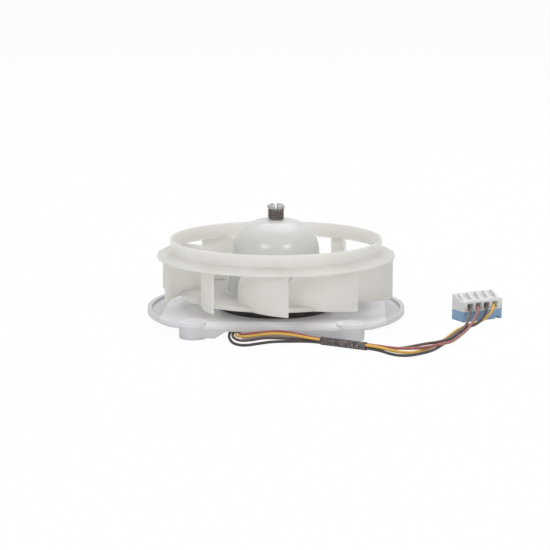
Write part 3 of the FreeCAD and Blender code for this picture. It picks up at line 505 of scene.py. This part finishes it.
class Palette(Enum):
    """Every finish of the motor, by the record's material slot."""

    PLATE = PlateFinish("plate_grey", linear(230, 230, 234), linear(205, 206, 209),
                        wing_edge=0.048, wing_radius=0.0563)
    DARK_MOULDING = Moulding("housing_black", linear(54, 50, 47), 0.5, grain=0.00004)
    THRUST_POLYMER = Moulding("natural_polymer", linear(232, 228, 214), 0.35)
    INSULATOR = Moulding("insulator_white", linear(236, 234, 226), 0.45)
    ROTOR_POLYMER = Moulding("rotor_polymer", linear(214, 210, 200), 0.4)
    IMPELLER = Milky("impeller_milky", linear(238, 238, 236), linear(243, 241, 238),
                     through=0.62, roughness=0.17, core=0.0225, tip_bottom=0.0457)
    CONNECTOR_WHITE = Milky("connector_white", linear(238, 239, 239), linear(248, 248, 246),
                            through=0.22)
    CONNECTOR_BLUE = Moulding("connector_blue", linear(131, 163, 196), 0.38)
    CHIP_EPOXY = Moulding("chip_epoxy", linear(38, 38, 42), 0.5)
    SCREW_STEEL = Metal("screw_steel", linear(206, 207, 210), 0.32)
    BEARING_BRONZE = Metal("bearing_bronze", linear(196, 160, 104), 0.45)
    LAMINATION_STEEL = Metal("lamination_steel", linear(150, 152, 156), 0.4, (0.05, 0.05, 1.0))
    WINDING_COPPER = Metal("winding_copper", linear(206, 122, 74), 0.3, (0.05, 1.0, 0.05))
    CAPACITOR_CAN = Metal("capacitor_can", linear(204, 206, 210), 0.3)
    SHAFT_STEEL = Metal("shaft_steel", linear(190, 190, 192), 0.22)
    FERRITE = Metal("magnet_ferrite", linear(62, 62, 66), 0.6, metallic=0.3)
    SPRING_STEEL = Metal("spring_steel", linear(118, 110, 106), 0.5, metallic=0.4)
    CONTACT_TIN = Metal("contact_tin", linear(205, 204, 200), 0.35)
    WIRE_BLACK = Insulation("insulation_black", linear(52, 47, 48), linear(96, 88, 88))
    WIRE_BROWN = Insulation("insulation_brown", linear(88, 68, 66), linear(128, 110, 106))
    WIRE_YELLOW = Insulation("insulation_yellow", linear(226, 178, 78), linear(224, 190, 120))
    WIRE_RED = Insulation("insulation_red", linear(158, 92, 88), linear(180, 134, 128))
    SLEEVE = Insulation("sleeve_black", linear(51, 46, 46), linear(148, 138, 134),
                        roughness=0.45, speckle=1900.0, cover=0.95)
    BOARD_LAMINATE = Laminate("board_laminate", linear(44, 110, 60), linear(66, 138, 80))

    @property
    def slot(self) -> str:
        """The record's name of this finish."""
        return self.name.lower()

    def material(self) -> Material:
        """The Blender material, made on first use."""
        return bpy.data.materials.get(FINISH_PREFIX + self.value.name) or self.value.build()


def in_scene(name: str, data: bpy.types.ID | None) -> Object:
    """Adds an object to the scene.

    Args:
        name: The object's name.
        data: What it shows: a mesh, curve, lamp or camera.

    Returns:
        The new object.
    """
    made = bpy.data.objects.new(name, data)
    bpy.context.scene.collection.objects.link(made)
    return made


def as_mesh(shape: bmesh.types.BMesh, name: str) -> Mesh:
    """Makes a shape a mesh that is shaded smooth.

    Args:
        shape: The shape, freed here.
        name: The mesh's name.

    Returns:
        The mesh.
    """
    for face in shape.faces:
        face.smooth = True
    mesh = bpy.data.meshes.new(name)
    shape.to_mesh(mesh)
    shape.free()
    return mesh


def as_closed_mesh(shape: bmesh.types.BMesh, name: str) -> Mesh:
    """Turns the faces of a closed shape outwards and makes it a mesh."""
    bmesh.ops.recalc_face_normals(shape, faces=shape.faces)
    return as_mesh(shape, name)


def join_rings(shape: bmesh.types.BMesh, here: Sequence[bmesh.types.BMVert],
               there: Sequence[bmesh.types.BMVert]) -> None:
    """Spans the band of faces between two rings of as many points.

    Args:
        shape: The shape that the faces go to.
        here: The first ring.
        there: The second ring.
    """
    for index in range(len(here)):
        after = (index + 1) % len(here)
        shape.faces.new((here[index], there[index], there[after], here[after]))


def evaluated_mesh(thing: Object) -> Mesh:
    """Turns what an object's modifiers or curve give into a plain mesh.

    Args:
        thing: The object, removed here.

    Returns:
        The mesh.
    """
    bpy.context.view_layer.update()
    evaluated = thing.evaluated_get(bpy.context.evaluated_depsgraph_get())
    mesh = bpy.data.meshes.new_from_object(evaluated)
    bpy.data.objects.remove(thing)
    return mesh


def add_piece(name: str, mesh: Mesh, finish: Palette, body: str) -> Object:
    """Puts a finished mesh in the scene as a piece that rides on a body.

    Args:
        name: The piece's name.
        mesh: Its mesh, in the row frame.
        finish: Its finish.
        body: The CAD body it moves with.

    Returns:
        The new object.
    """
    piece = in_scene(name, mesh)
    if not mesh.materials:
        mesh.materials.append(finish.material())
    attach(piece, body)
    LOG.info("%s: %d faces on %s", name, len(mesh.polygons), body)
    return piece


def round_edges(piece: Object, edge: float) -> None:
    """Breaks a piece's hard edges.

    Args:
        piece: The piece.
        edge: Width of the rounding, in millimetres.
    """
    bevel = piece.modifiers.new("Edges", "BEVEL")
    bevel.width = edge * MM
    bevel.segments = EDGE_SEGMENTS
    bevel.limit_method = "ANGLE"
    bevel.angle_limit = EDGE_ANGLE
    bevel.harden_normals = True


class Recipe(NodeTree):
    """Builds one geometry node tree and turns its result into a plain mesh."""

    def __init__(self, name: str, sizes: dict[str, float | int]) -> None:
        """Starts a tree with a geometry input, its named sizes and a material input.

        Args:
            name: The tree's name.
            sizes: The value of each named input.
        """
        super().__init__(bpy.data.node_groups.new(name, "GeometryNodeTree"))
        self.values: dict[str, float | int] = {}
        face = self.tree.interface
        face.new_socket("Geometry", in_out="INPUT", socket_type="NodeSocketGeometry")
        for label, value in sizes.items():
            kind = "NodeSocketInt" if isinstance(value, int) else "NodeSocketFloat"
            socket = face.new_socket(label, in_out="INPUT", socket_type=kind)
            self.values[socket.identifier] = value
        self.finish_socket = face.new_socket("Finish", in_out="INPUT",
                                             socket_type="NodeSocketMaterial")
        face.new_socket("Geometry", in_out="OUTPUT", socket_type="NodeSocketGeometry")
        self.given = self.node("NodeGroupInput").outputs

    def close(self, geometry: NodeSocket) -> None:
        """Ends the tree: real geometry, shaded smooth, with the finish set.

        Args:
            geometry: The socket that carries the shape.
        """
        real = self.node("GeometryNodeRealizeInstances", None, {"Geometry": geometry})
        smooth = self.node("GeometryNodeSetShadeSmooth", None, {"Geometry": real.outputs[0]})
        dressed = self.node("GeometryNodeSetMaterial", None, {
            "Geometry": smooth.outputs[0], "Material": self.given["Finish"]})
        self.node("NodeGroupOutput", None, [dressed.outputs[0]])

    def cast(self, start: Mesh, finish: Palette) -> Mesh:
        """Runs the tree on a mesh.

        Args:
            start: The mesh that the tree's geometry input gets.
            finish: The finish of the result.

        Returns:
            A plain mesh.
        """
        holder = in_scene("holder", start)
        modifier = holder.modifiers.new("Recipe", "NODES")
        modifier.node_group = self.tree
        for identifier, value in self.values.items():
            modifier[identifier] = value
        modifier[self.finish_socket.identifier] = finish.material()
        return evaluated_mesh(holder)


class Ring(Recipe):
    """Copies of one mesh set evenly round the shaft's axis."""

    def __init__(self, count: int, start: float) -> None:
        """Builds the tree.

        Args:
            count: How many copies.
            start: The first copy's angle, in degrees.
        """
        super().__init__("ring_of_copies", {"Count": count, "Start": math.radians(start)})
        seats = self.node("GeometryNodePoints", None, {"Count": self.given["Count"]})
        order = self.node("GeometryNodeInputIndex")
        step = self.node("ShaderNodeMath", {"operation": "DIVIDE"},
                         [math.tau, self.given["Count"]])
        turn = self.node("ShaderNodeMath", {"operation": "MULTIPLY_ADD"},
                         [order.outputs[0], step.outputs[0], self.given["Start"]])
        angles = self.node("ShaderNodeCombineXYZ", None, {"Z": turn.outputs[0]})
        copies = self.node("GeometryNodeInstanceOnPoints", None, {
            "Points": seats.outputs[0], "Instance": self.given["Geometry"],
            "Rotation": angles.outputs[0]})
        self.close(copies.outputs[0])


class Coil(Recipe):
    """A close-wound helix of round wire about the shaft's axis."""

    path_steps = 40
    section_steps = 12

    def __init__(self, turns: float, radius: float, wire: float, bottom: float,
                 rise: float) -> None:
        """Builds the tree.

        Args:
            turns: Number of turns.
            radius: Radius of the wire's centreline, in metres.
            wire: Radius of the wire, in metres.
            bottom: Height of the first turn's centreline, in metres.
            rise: Height from the first to the last turn, in metres.
        """
        super().__init__("wound_coil", {"Turns": turns, "Radius": radius, "Wire": wire,
                                        "Bottom": bottom, "Rise": rise})
        path = self.node("GeometryNodeCurveSpiral", None, {
            "Resolution": self.path_steps, "Rotations": self.given["Turns"],
            "Start Radius": self.given["Radius"], "End Radius": self.given["Radius"],
            "Height": self.given["Rise"]})
        lift = self.node("ShaderNodeCombineXYZ", None, {"Z": self.given["Bottom"]})
        raised = self.node("GeometryNodeTransform", None, {
            "Geometry": path.outputs[0], "Translation": lift.outputs[0]})
        section = self.node("GeometryNodeCurvePrimitiveCircle", None, {
            "Resolution": self.section_steps, "Radius": self.given["Wire"]})
        tube = self.node("GeometryNodeCurveToMesh", None, {
            "Curve": raised.outputs[0], "Profile Curve": section.outputs[0], "Fill Caps": True})
        self.close(tube.outputs[0])


def arc_centre(first: Vector, last: Vector, radius: float) -> Vector:
    """The centre of an arc between two points.

    Args:
        first: First point.
        last: Last point.
        radius: The arc's radius; a negative one turns clockwise.

    Returns:
        The centre.
    """
    chord = last - first
    side = Vector((-chord.y, chord.x)).normalized()
    side *= math.sqrt(radius ** 2 - (chord.length / 2) ** 2)
    return (first + last) / 2 + (side if radius > 0 else -side)


def arc_points(start: Corner, end: Corner, radius: float, steps: int) -> list[Corner]:
    """Points along an arc between two points, without the first one.

    Args:
        start: First point.
        end: Last point.
        radius: The arc's radius; a negative one turns clockwise.
        steps: How many points.

    Returns:
        The points, the last one included.
    """
    first, last = Vector(start), Vector(end)
    centre = arc_centre(first, last, radius)
    begin = math.atan2(*(first - centre).yx)
    sweep = (math.atan2(*(last - centre).yx) - begin + math.pi) % math.tau - math.pi
    return [(centre.x + abs(radius) * math.cos(begin + sweep * step / steps),
             centre.y + abs(radius) * math.sin(begin + sweep * step / steps))
            for step in range(1, steps + 1)]


@dataclass
class Impeller:
    """Radial impeller, one moulding: disk and dome, curled blades, shroud and slotted collet.

    Sizes are in millimetres and angles in degrees. The shell, shroud and finger are outlines,
    each corner a radius and a height.
    """

    body: str = "rotor"
    phase: float = -81.4
    blade_count: int = 10
    root_radius: float = 33.0
    tip_radius: float = 51.4
    wrap: float = 34.0
    curl: float = 37.6
    wall: float = 1.1
    blade_bottom: float = 12.2
    blade_rows: int = 9
    blade_steps: int = 36
    disk_top: float = 13.8
    collar_inner: float = 44.8
    collar_bottom: float = 31.2
    nose_curve: float = 14.0
    flange_radius: float = 52.0
    flange_middle: float = 29.65
    flange_half_wall: float = 0.45
    finger_count: int = 4
    finger_steps: int = 10
    slot_half: float = 0.65
    around: int = 160
    shell: tuple[Corner, ...] = (
        (1.52, 37.6), (4.2, 37.6), (4.2, 43.8), (5.0, 43.8),
        *arc_points((5.0, 43.8), (17.5, 31.3), -12.5, 16),
        (19.9, 12.2), (41.7, 12.2), (41.7, 13.8), (21.4, 13.8), (19.0, 31.3),
        *arc_points((19.0, 31.3), (5.0, 45.3), 14.0, 20), (2.75, 45.3), (2.75, 45.8), (1.52, 45.8))
    shroud: tuple[Corner, ...] = (
        (44.8, 31.2), (52.0, 29.2), (52.0, 30.1), (46.0, 32.1), (46.4, 37.3), (45.2, 37.3))
    finger: tuple[Corner, ...] = (
        (1.52, 45.7), (2.75, 45.7), (2.75, 50.15), (3.85, 50.15), (3.85, 51.1), (2.7, 52.0),
        (1.52, 52.0))

    def top_of(self, radius: float) -> float:
        """Height of a blade's upper edge: the rounded nose, then the shroud's slope.

        Args:
            radius: Distance from the shaft's axis.

        Returns:
            The height.
        """
        if radius >= self.collar_inner:
            share = (radius - self.collar_inner) / (self.flange_radius - self.collar_inner)
            foot = self.collar_bottom + self.flange_half_wall
            return foot + share * (self.flange_middle - foot)
        centre = arc_centre(Vector((self.root_radius, self.disk_top)),
                            Vector((self.collar_inner, self.collar_bottom)), -self.nose_curve)
        return centre.y + math.sqrt(max(0.0, self.nose_curve ** 2 - (radius - centre.x) ** 2))

    def blade(self) -> Mesh:
        """One blade whose tip lies on the +X side.

        Returns:
            The blade's closed mesh.
        """
        turn = math.radians(self.wrap)
        base = (self.root_radius * math.cos(turn), -self.root_radius * math.sin(turn))
        line = [base, *arc_points(base, (self.tip_radius, 0.0), self.curl, self.blade_steps)]
        shape = bmesh.new()
        rows, last = self.blade_rows, len(line) - 1
        near, far = [], []
        for grid, half in ((near, -self.wall / 2), (far, self.wall / 2)):
            for index, place in enumerate(line):
                before, after = line[max(index - 1, 0)], line[min(index + 1, last)]
                along = Vector((after[0] - before[0], after[1] - before[1])).normalized()
                spot = Vector(place) + Vector((-along.y, along.x)) * half
                rise = self.top_of(Vector(place).length) - self.blade_bottom
                grid.append([
                    shape.verts.new((spot.x * MM, spot.y * MM,
                                     (self.blade_bottom + rise * row / rows) * MM))
                    for row in range(rows + 1)])
        for index in range(last):
            here, there = near[index] + far[index][::-1], near[index + 1] + far[index + 1][::-1]
            join_rings(shape, here, there)
        for index in (0, last):
            for row in range(rows):
                shape.faces.new((near[index][row], near[index][row + 1],
                                 far[index][row + 1], far[index][row]))
        return as_closed_mesh(shape, "blade")

    def turned(self, outline: Sequence[Corner], name: str) -> Mesh:
        """A closed outline turned about the shaft's axis.

        Args:
            outline: Radius and height of each corner.
            name: The mesh's name.

        Returns:
            The turned mesh.
        """
        shape = bmesh.new()
        rings = [[shape.verts.new((radius * MM * math.cos(math.tau * step / self.around),
                                   radius * MM * math.sin(math.tau * step / self.around),
                                   height * MM))
                  for radius, height in outline] for step in range(self.around)]
        for here, there in zip(rings, rings[1:] + rings[:1]):
            join_rings(shape, here, there)
        return as_closed_mesh(shape, name)

    def collet_finger(self) -> Mesh:
        """One of the fingers that the clamp presses on the shaft.

        Returns:
            The finger's closed mesh.
        """
        shape = bmesh.new()
        rings = []
        for step in range(self.finger_steps + 1):
            ring = []
            for radius, height in self.finger:
                edge = math.asin(self.slot_half / radius)
                angle = edge + (math.pi / 2 - 2 * edge) * step / self.finger_steps
                ring.append(shape.verts.new((radius * MM * math.cos(angle),
                                             radius * MM * math.sin(angle), height * MM)))
            rings.append(ring)
        for here, there in zip(rings, rings[1:]):
            join_rings(shape, here, there)
        shape.faces.new(rings[0])
        shape.faces.new(list(reversed(rings[-1])))
        return as_closed_mesh(shape, "collet_finger")

    def build(self) -> None:
        """Casts the moulding and lets it stand for the CAD impeller."""
        for name, mesh, count, edge in (
                ("impeller_blades", self.blade(), self.blade_count, 0.22),
                ("impeller_dome", self.turned(self.shell, "disk_and_dome"), 1, 0.35),
                ("impeller_shroud", self.turned(self.shroud, "shroud"), 1, 0.3),
                ("impeller_collet", self.collet_finger(), self.finger_count, 0.15)):
            cast = Ring(count, self.phase).cast(mesh, Palette.IMPELLER)
            piece = add_piece(name, cast, Palette.IMPELLER, self.body)
            round_edges(piece, edge)
            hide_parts("impeller")


@dataclass
class ClampSpring:
    """Close-wound coil round the collet's fingers; sizes in millimetres."""

    turns: float = 5.0
    radius: float = 3.17
    wire: float = 0.37
    bottom: float = 45.72
    rise: float = 4.01

    def build(self) -> None:
        """Winds the coil and lets it stand for the CAD spring."""
        coil = Coil(self.turns, self.radius * MM, self.wire * MM, self.bottom * MM, self.rise * MM)
        mesh = coil.cast(bpy.data.meshes.new("empty"), Palette.SPRING_STEEL)
        piece = add_piece("clamp_spring_coil", mesh, Palette.SPRING_STEEL, "rotor")
        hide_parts("clamp_spring")


@dataclass
class Softened:
    """A CAD node's form with its hard edges broken, as a moulding's are."""

    node: str
    body: str
    finish: Palette
    edge: float
    merge_distance: float = 0.002
    flat_angle: float = 0.6

    def build(self) -> None:
        """Copies the node, merges the copy, rounds its edges and lets it stand for the node."""
        shape = bmesh.new()
        shape.from_mesh(frame["nodes"][self.node].data)
        bmesh.ops.remove_doubles(shape, verts=shape.verts, dist=self.merge_distance * MM)
        bmesh.ops.dissolve_limit(shape, angle_limit=math.radians(self.flat_angle),
                                 verts=shape.verts, edges=shape.edges, delimit={"NORMAL"})
        name = f"{self.node}_moulding"
        piece = add_piece(name, as_mesh(shape, name), self.finish, self.body)
        round_edges(piece, self.edge)
        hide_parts(self.node)


LEAD_ROUTES: dict[Palette, list[Point]] = {
    Palette.WIRE_BLACK: [
        (-9.15, -12.7, 6.15), (-11.6, -17.4, 3.7), (-14.55, -22.85, 3.6), (-16.5, -32.6, 3.2),
        (-17.6, -39.5, 2.7), (-17.05, -45.45, 1.9), (-14.8, -50.45, 0.9), (-10.25, -52.5, 0.7),
        (-4.95, -50.35, 1.1), (1.0, -47.8, 1.5), (8.95, -46.2, 1.3), (16.45, -44.95, 1.15),
        (25.7, -49.2, 1.15), (34.95, -54.0, 1.15), (44.0, -58.15, 1.15), (50.25, -65.05, 0.65),
        (55.95, -66.55, 0.65), (61.35, -62.65, 0.65), (66.85, -56.4, 0.65), (70.95, -46.55, 0.65),
        (75.1, -36.0, 0.65), (79.05, -23.8, 0.65), (83.0, -12.95, 0.65), (88.25, -6.6, 0.9),
        (91.2, -1.65, 3.2), (93.2, 2.5, 6.65), (91.85, 9.1, 6.65)],
    Palette.WIRE_BROWN: [
        (-7.9, -13.35, 6.15), (-10.4, -18.05, 3.7), (-13.3, -23.5, 3.6), (-15.1, -32.4, 3.2),
        (-16.2, -39.5, 2.7), (-15.5, -44.45, 2.2), (-12.7, -47.95, 1.7), (-7.9, -48.1, 2.0),
        (-2.6, -45.8, 2.6), (3.35, -44.8, 2.3), (9.9, -43.55, 1.7), (17.05, -43.8, 1.15),
        (26.25, -48.05, 1.15), (35.5, -52.85, 1.15), (44.55, -57.0, 1.15), (51.4, -56.0, 0.9),
        (57.85, -52.65, 1.2), (63.9, -49.9, 1.9), (69.35, -46.85, 1.9), (73.55, -41.0, 1.9),
        (77.3, -30.9, 1.95), (81.0, -20.4, 1.95), (83.6, -10.85, 2.1), (85.7, -2.1, 6.65),
        (84.35, 4.5, 6.65)],
    Palette.WIRE_YELLOW: [
        (-6.65, -14.0, 6.15), (-9.15, -18.7, 3.7), (-12.05, -24.15, 3.6), (-13.7, -32.2, 3.2),
        (-14.8, -39.5, 2.7), (-14.05, -43.7, 2.7), (-11.0, -45.95, 2.9), (-5.45, -45.25, 3.5),
        (0.8, -44.0, 4.1), (8.35, -44.2, 3.8), (16.45, -44.95, 2.4), (25.7, -49.2, 2.4),
        (34.95, -54.0, 2.4), (44.0, -58.15, 2.4), (50.75, -63.05, 1.6), (57.7, -61.65, 0.65),
        (63.8, -55.35, 0.65), (68.2, -47.7, 0.65), (71.7, -38.5, 0.65), (75.4, -27.1, 0.65),
        (79.1, -16.7, 0.65), (84.15, -8.0, 0.65), (88.85, -2.55, 0.7), (92.65, 1.45, 1.9),
        (96.8, 5.4, 6.65), (95.6, 11.4, 6.65)],
    Palette.WIRE_RED: [
        (-5.4, -14.65, 6.15), (-7.9, -19.35, 3.7), (-10.8, -24.85, 3.6), (-12.3, -32.0, 3.2),
        (-13.4, -38.85, 2.7), (-12.5, -42.6, 3.0), (-9.8, -44.5, 3.9), (-3.75, -43.6, 4.4),
        (2.7, -42.5, 4.8), (9.75, -42.65, 4.1), (17.05, -43.8, 2.4), (26.25, -48.05, 2.4),
        (35.5, -52.85, 2.4), (44.55, -57.0, 2.4), (51.2, -59.8, 2.1), (58.5, -59.2, 1.95),
        (64.8, -55.9, 1.9), (70.7, -49.85, 1.95), (74.9, -42.35, 0.95), (77.75, -33.6, 0.65),
        (81.4, -22.55, 0.65), (84.45, -13.8, 1.3), (87.15, -6.05, 3.4), (89.45, 0.2, 6.65),
        (88.1, 6.8, 6.65)],
}
SLEEVE_ROUTE: list[Point] = [
    (21.2, -46.4, 1.775), (25.975, -48.625, 1.775), (35.225, -53.425, 1.775),
    (39.75, -55.5, 1.775)]


@dataclass
class Lead:
    """The four insulated wires and their shrink sleeve; sizes and routes in millimetres."""

    routes: dict[Palette, list[Point]]
    sleeve_route: list[Point]
    wire_diameter: float = 1.2
    sleeve_radius: float = 1.69
    sleeve_wall: float = 0.2
    sleeve_rings: int = 90
    sleeve_around: int = 28
    lobe: float = 0.07
    lobe_turn: float = 0.6
    wrinkle: float = 0.025
    wrinkle_pace: float = 61.0
    wrinkle_twist: float = 9.0

    def curve(self, name: str, route: Sequence[Point], radius: float) -> Object:
        """A smooth curve whose control points are the route's points.

        Args:
            name: The curve's name.
            route: The route.
            radius: Half the cord's thickness; 0 leaves a bare line.

        Returns:
            The curve object.
        """
        data = bpy.data.curves.new(name, "CURVE")
        data.dimensions = "3D"
        data.resolution_u = CORD_STEPS
        data.bevel_depth = radius * MM
        data.bevel_resolution = CORD_ROUNDNESS
        data.use_fill_caps = True
        spline = data.splines.new("NURBS")
        spline.points.add(len(route) - 1)
        for point, place in zip(spline.points, route):
            point.co = (*(value * MM for value in place), 1.0)
        spline.order_u = 3
        spline.use_endpoint_u = True
        return in_scene(name, data)

    def line(self, name: str, route: Sequence[Point]) -> list[Vector]:
        """The points of a route's smooth curve, in metres.

        Args:
            name: A name for the helper curve.
            route: The route.

        Returns:
            The points along the curve.
        """
        mesh = evaluated_mesh(self.curve(name, route, 0.0))
        points = [vertex.co.copy() for vertex in mesh.vertices]
        bpy.data.meshes.remove(mesh)
        return points

    def length(self, name: str, route: Sequence[Point]) -> float:
        """The length of a route's smooth curve, in metres."""
        points = self.line(name, route)
        return sum((after - before).length for before, after in zip(points, points[1:]))

    def sleeve_size(self, share: float, angle: float) -> float:
        """The sleeve's outer radius: four lobes over the wires and low wrinkles.

        Args:
            share: How far along the sleeve, 0 to 1.
            angle: The angle round it.

        Returns:
            The radius.
        """
        lobes = self.lobe * math.cos(len(self.routes) * angle + self.lobe_turn)
        fold = math.sin(share * self.wrinkle_pace + 2 * math.sin(3 * angle))
        fold *= math.cos(2 * angle + share * self.wrinkle_twist)
        return self.sleeve_radius + lobes + self.wrinkle * fold

    def build_sleeve(self) -> Object:
        """The shrink sleeve, slightly lobed and wrinkled over the four wires.

        Returns:
            The sleeve piece.
        """
        line = self.line("sleeve_line", self.sleeve_route)
        spans = np.linspace(0, len(line) - 1, self.sleeve_rings)
        shape = bmesh.new()
        rings = []
        for row, wall in ((spans, 0.0), (spans[::-1], self.sleeve_wall)):
            for index, span in enumerate(row):
                low = min(int(span), len(line) - 2)
                centre = line[low].lerp(line[low + 1], span - low)
                along = (line[low + 1] - line[low]).normalized()
                across = along.cross(Vector((0, 0, 1))).normalized()
                upright = across.cross(along)
                ring = []
                for step in range(self.sleeve_around):
                    angle = math.tau * step / self.sleeve_around
                    radius = self.sleeve_size(index / (self.sleeve_rings - 1), angle) - wall
                    offset = across * math.cos(angle) + upright * math.sin(angle)
                    ring.append(shape.verts.new(centre + offset * (radius * MM)))
                rings.append(ring)
        for before, after in zip(rings, rings[1:] + rings[:1]):
            join_rings(shape, before, after)
        name = "shrink_sleeve_wrinkled"
        sleeve = add_piece(name, as_closed_mesh(shape, name), Palette.SLEEVE, "base")
        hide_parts("shrink_sleeve")
        return sleeve

    def build(self) -> None:
        """Builds the sleeve and the wires."""
        carried = [self.build_sleeve()] + [
            piece for piece in bpy.context.scene.objects
            if piece.name.startswith(("connector_", "contacts")) and not piece.hide_render]
        for finish, route in self.routes.items():
            name = finish.slot
            wire = self.curve(f"{name}_lead", route, self.wire_diameter / 2)
            wire.data.materials.append(finish.material())
            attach(wire, "base")
            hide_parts(name)
            length = self.length(f"{name}_line", route)
            tuple(value * MM for value in route[0])
            self.wire_diameter * MM
            LOG.info("%s: %.1f mm long", wire.name, length / MM)


@dataclass(frozen=True)
class Lamp:
    """A soft oval lamp that faces the object; sizes in metres, power in watts."""

    name: str
    place: Point
    wide: float
    high: float
    power: float
    aim: Point = (0.0, 0.0, 0.02)

    def build(self) -> None:
        """Hangs the lamp."""
        data = bpy.data.lights.new(self.name, "AREA")
        data.shape = "ELLIPSE"
        data.size, data.size_y = self.wide, self.high
        data.energy = self.power
        lamp = in_scene(self.name, data)
        lamp.location = self.place
        towards = Vector(self.aim) - Vector(self.place)
        lamp.rotation_euler = towards.to_track_quat("-Z", "Y").to_euler()


@dataclass
class Studio:
    """White floor, soft lamps, a bright room and the camera at the photograph's angle."""

    distance: float = 0.7
    height: float = 0.153
    azimuth: float = 3.0
    pitch: float = 10.725
    focal_pixels: float = 1621.0
    frame_pixels: float = 550.0
    axis_shift_pixels: float = 1.0
    clip: tuple[float, float] = (0.05, 60.0)
    floor_reach: float = 15.0
    floor_colour: Colour = (0.86, 0.86, 0.86)
    floor_glow: float = 0.96
    room_strength: float = 0.46
    lamps: tuple[Lamp, ...] = (Lamp("key", (-0.75, -1.3, 0.86), 0.75, 0.4, 5.4),
                               Lamp("fill", (0.88, -1.21, 0.86), 0.7, 0.38, 4.6),
                               Lamp("top", (0.1, 0.6, 1.5), 1.6, 1.6, 14.0))

    def build_camera(self) -> None:
        """Places the camera: the shaft's axis stands one pixel right of the middle."""
        turn = math.radians(self.azimuth)
        data = bpy.data.cameras.new("view")
        data.lens = self.focal_pixels * data.sensor_width / self.frame_pixels
        data.clip_start, data.clip_end = self.clip
        camera = in_scene("view", data)
        camera.location = (math.sin(turn) * self.distance, -math.cos(turn) * self.distance,
                           self.height)
        yaw = turn + math.atan(self.axis_shift_pixels / self.focal_pixels)
        camera.rotation_euler = (math.radians(90.0 - self.pitch), 0.0, yaw)
        bpy.context.scene.camera = camera

    def build_floor(self) -> None:
        """A large white floor that keeps a faint shadow of the object."""
        shape = bmesh.new()
        bmesh.ops.create_grid(shape, x_segments=2, y_segments=2, size=self.floor_reach)
        floor = in_scene("floor", as_mesh(shape, "floor"))
        shader = Shader("floor_white")
        paper = shader.node("ShaderNodeBsdfDiffuse", None, {"Color": self.floor_colour})
        glow = shader.node("ShaderNodeEmission", None, {"Color": WHITE, "Strength": 1.0})
        surface = shader.mixed(shader.seen_directly() * self.floor_glow, paper, glow)
        floor.data.materials.append(shader.close(surface))

    def build_room(self) -> None:
        """A room that looks white and lights the object more softly."""
        world = bpy.data.worlds.new("room")
        bpy.context.scene.world = world
        world.use_nodes = True
        room = NodeTree(world.node_tree)
        dim, white = (room.node("ShaderNodeBackground", None, {"Color": WHITE, "Strength": power})
                      for power in (self.room_strength, 1.0))
        surface = room.mixed(room.seen_directly(), dim, white)
        room.node("ShaderNodeOutputWorld", None, [surface])

    def build(self) -> None:
        """Builds the camera, the floor, the lamps and the room."""
        bpy.context.scene.view_settings.view_transform = "Standard"
        self.build_camera()
        self.build_floor()
        for lamp in self.lamps:
            lamp.build()
        self.build_room()


@dataclass
class CadFinishes:
    """Gives each CAD node the finish of its material slot."""

    subparts: list[dict[str, str]]

    def build(self) -> None:
        """Assigns each node's material."""
        for part in self.subparts:
            finish = Palette[part["material_slot"].upper()]
            materials = frame["nodes"][part["node"]].data.materials
            materials.clear()
            materials.append(finish.material())
            LOG.info("%s: %s", part["node"], finish.slot)


def main() -> None:
    """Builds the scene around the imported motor."""
    logging.basicConfig(level=logging.INFO, format="%(name)s: %(message)s")
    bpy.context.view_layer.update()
    Studio().build()
    CadFinishes(frame["record"]["subparts"]).build()
    for softened in (Softened("mounting_plate", "base", Palette.PLATE, 0.3),
                     Softened("motor_housing", "base", Palette.DARK_MOULDING, 0.25),
                     Softened("connector_housing", "base", Palette.CONNECTOR_WHITE, 0.2),
                     Softened("connector_lock", "base", Palette.CONNECTOR_BLUE, 0.2)):
        softened.build()
    Impeller().build()
    ClampSpring().build()
    Lead(LEAD_ROUTES, SLEEVE_ROUTE).build()


if __name__ == "__main__":
    main()
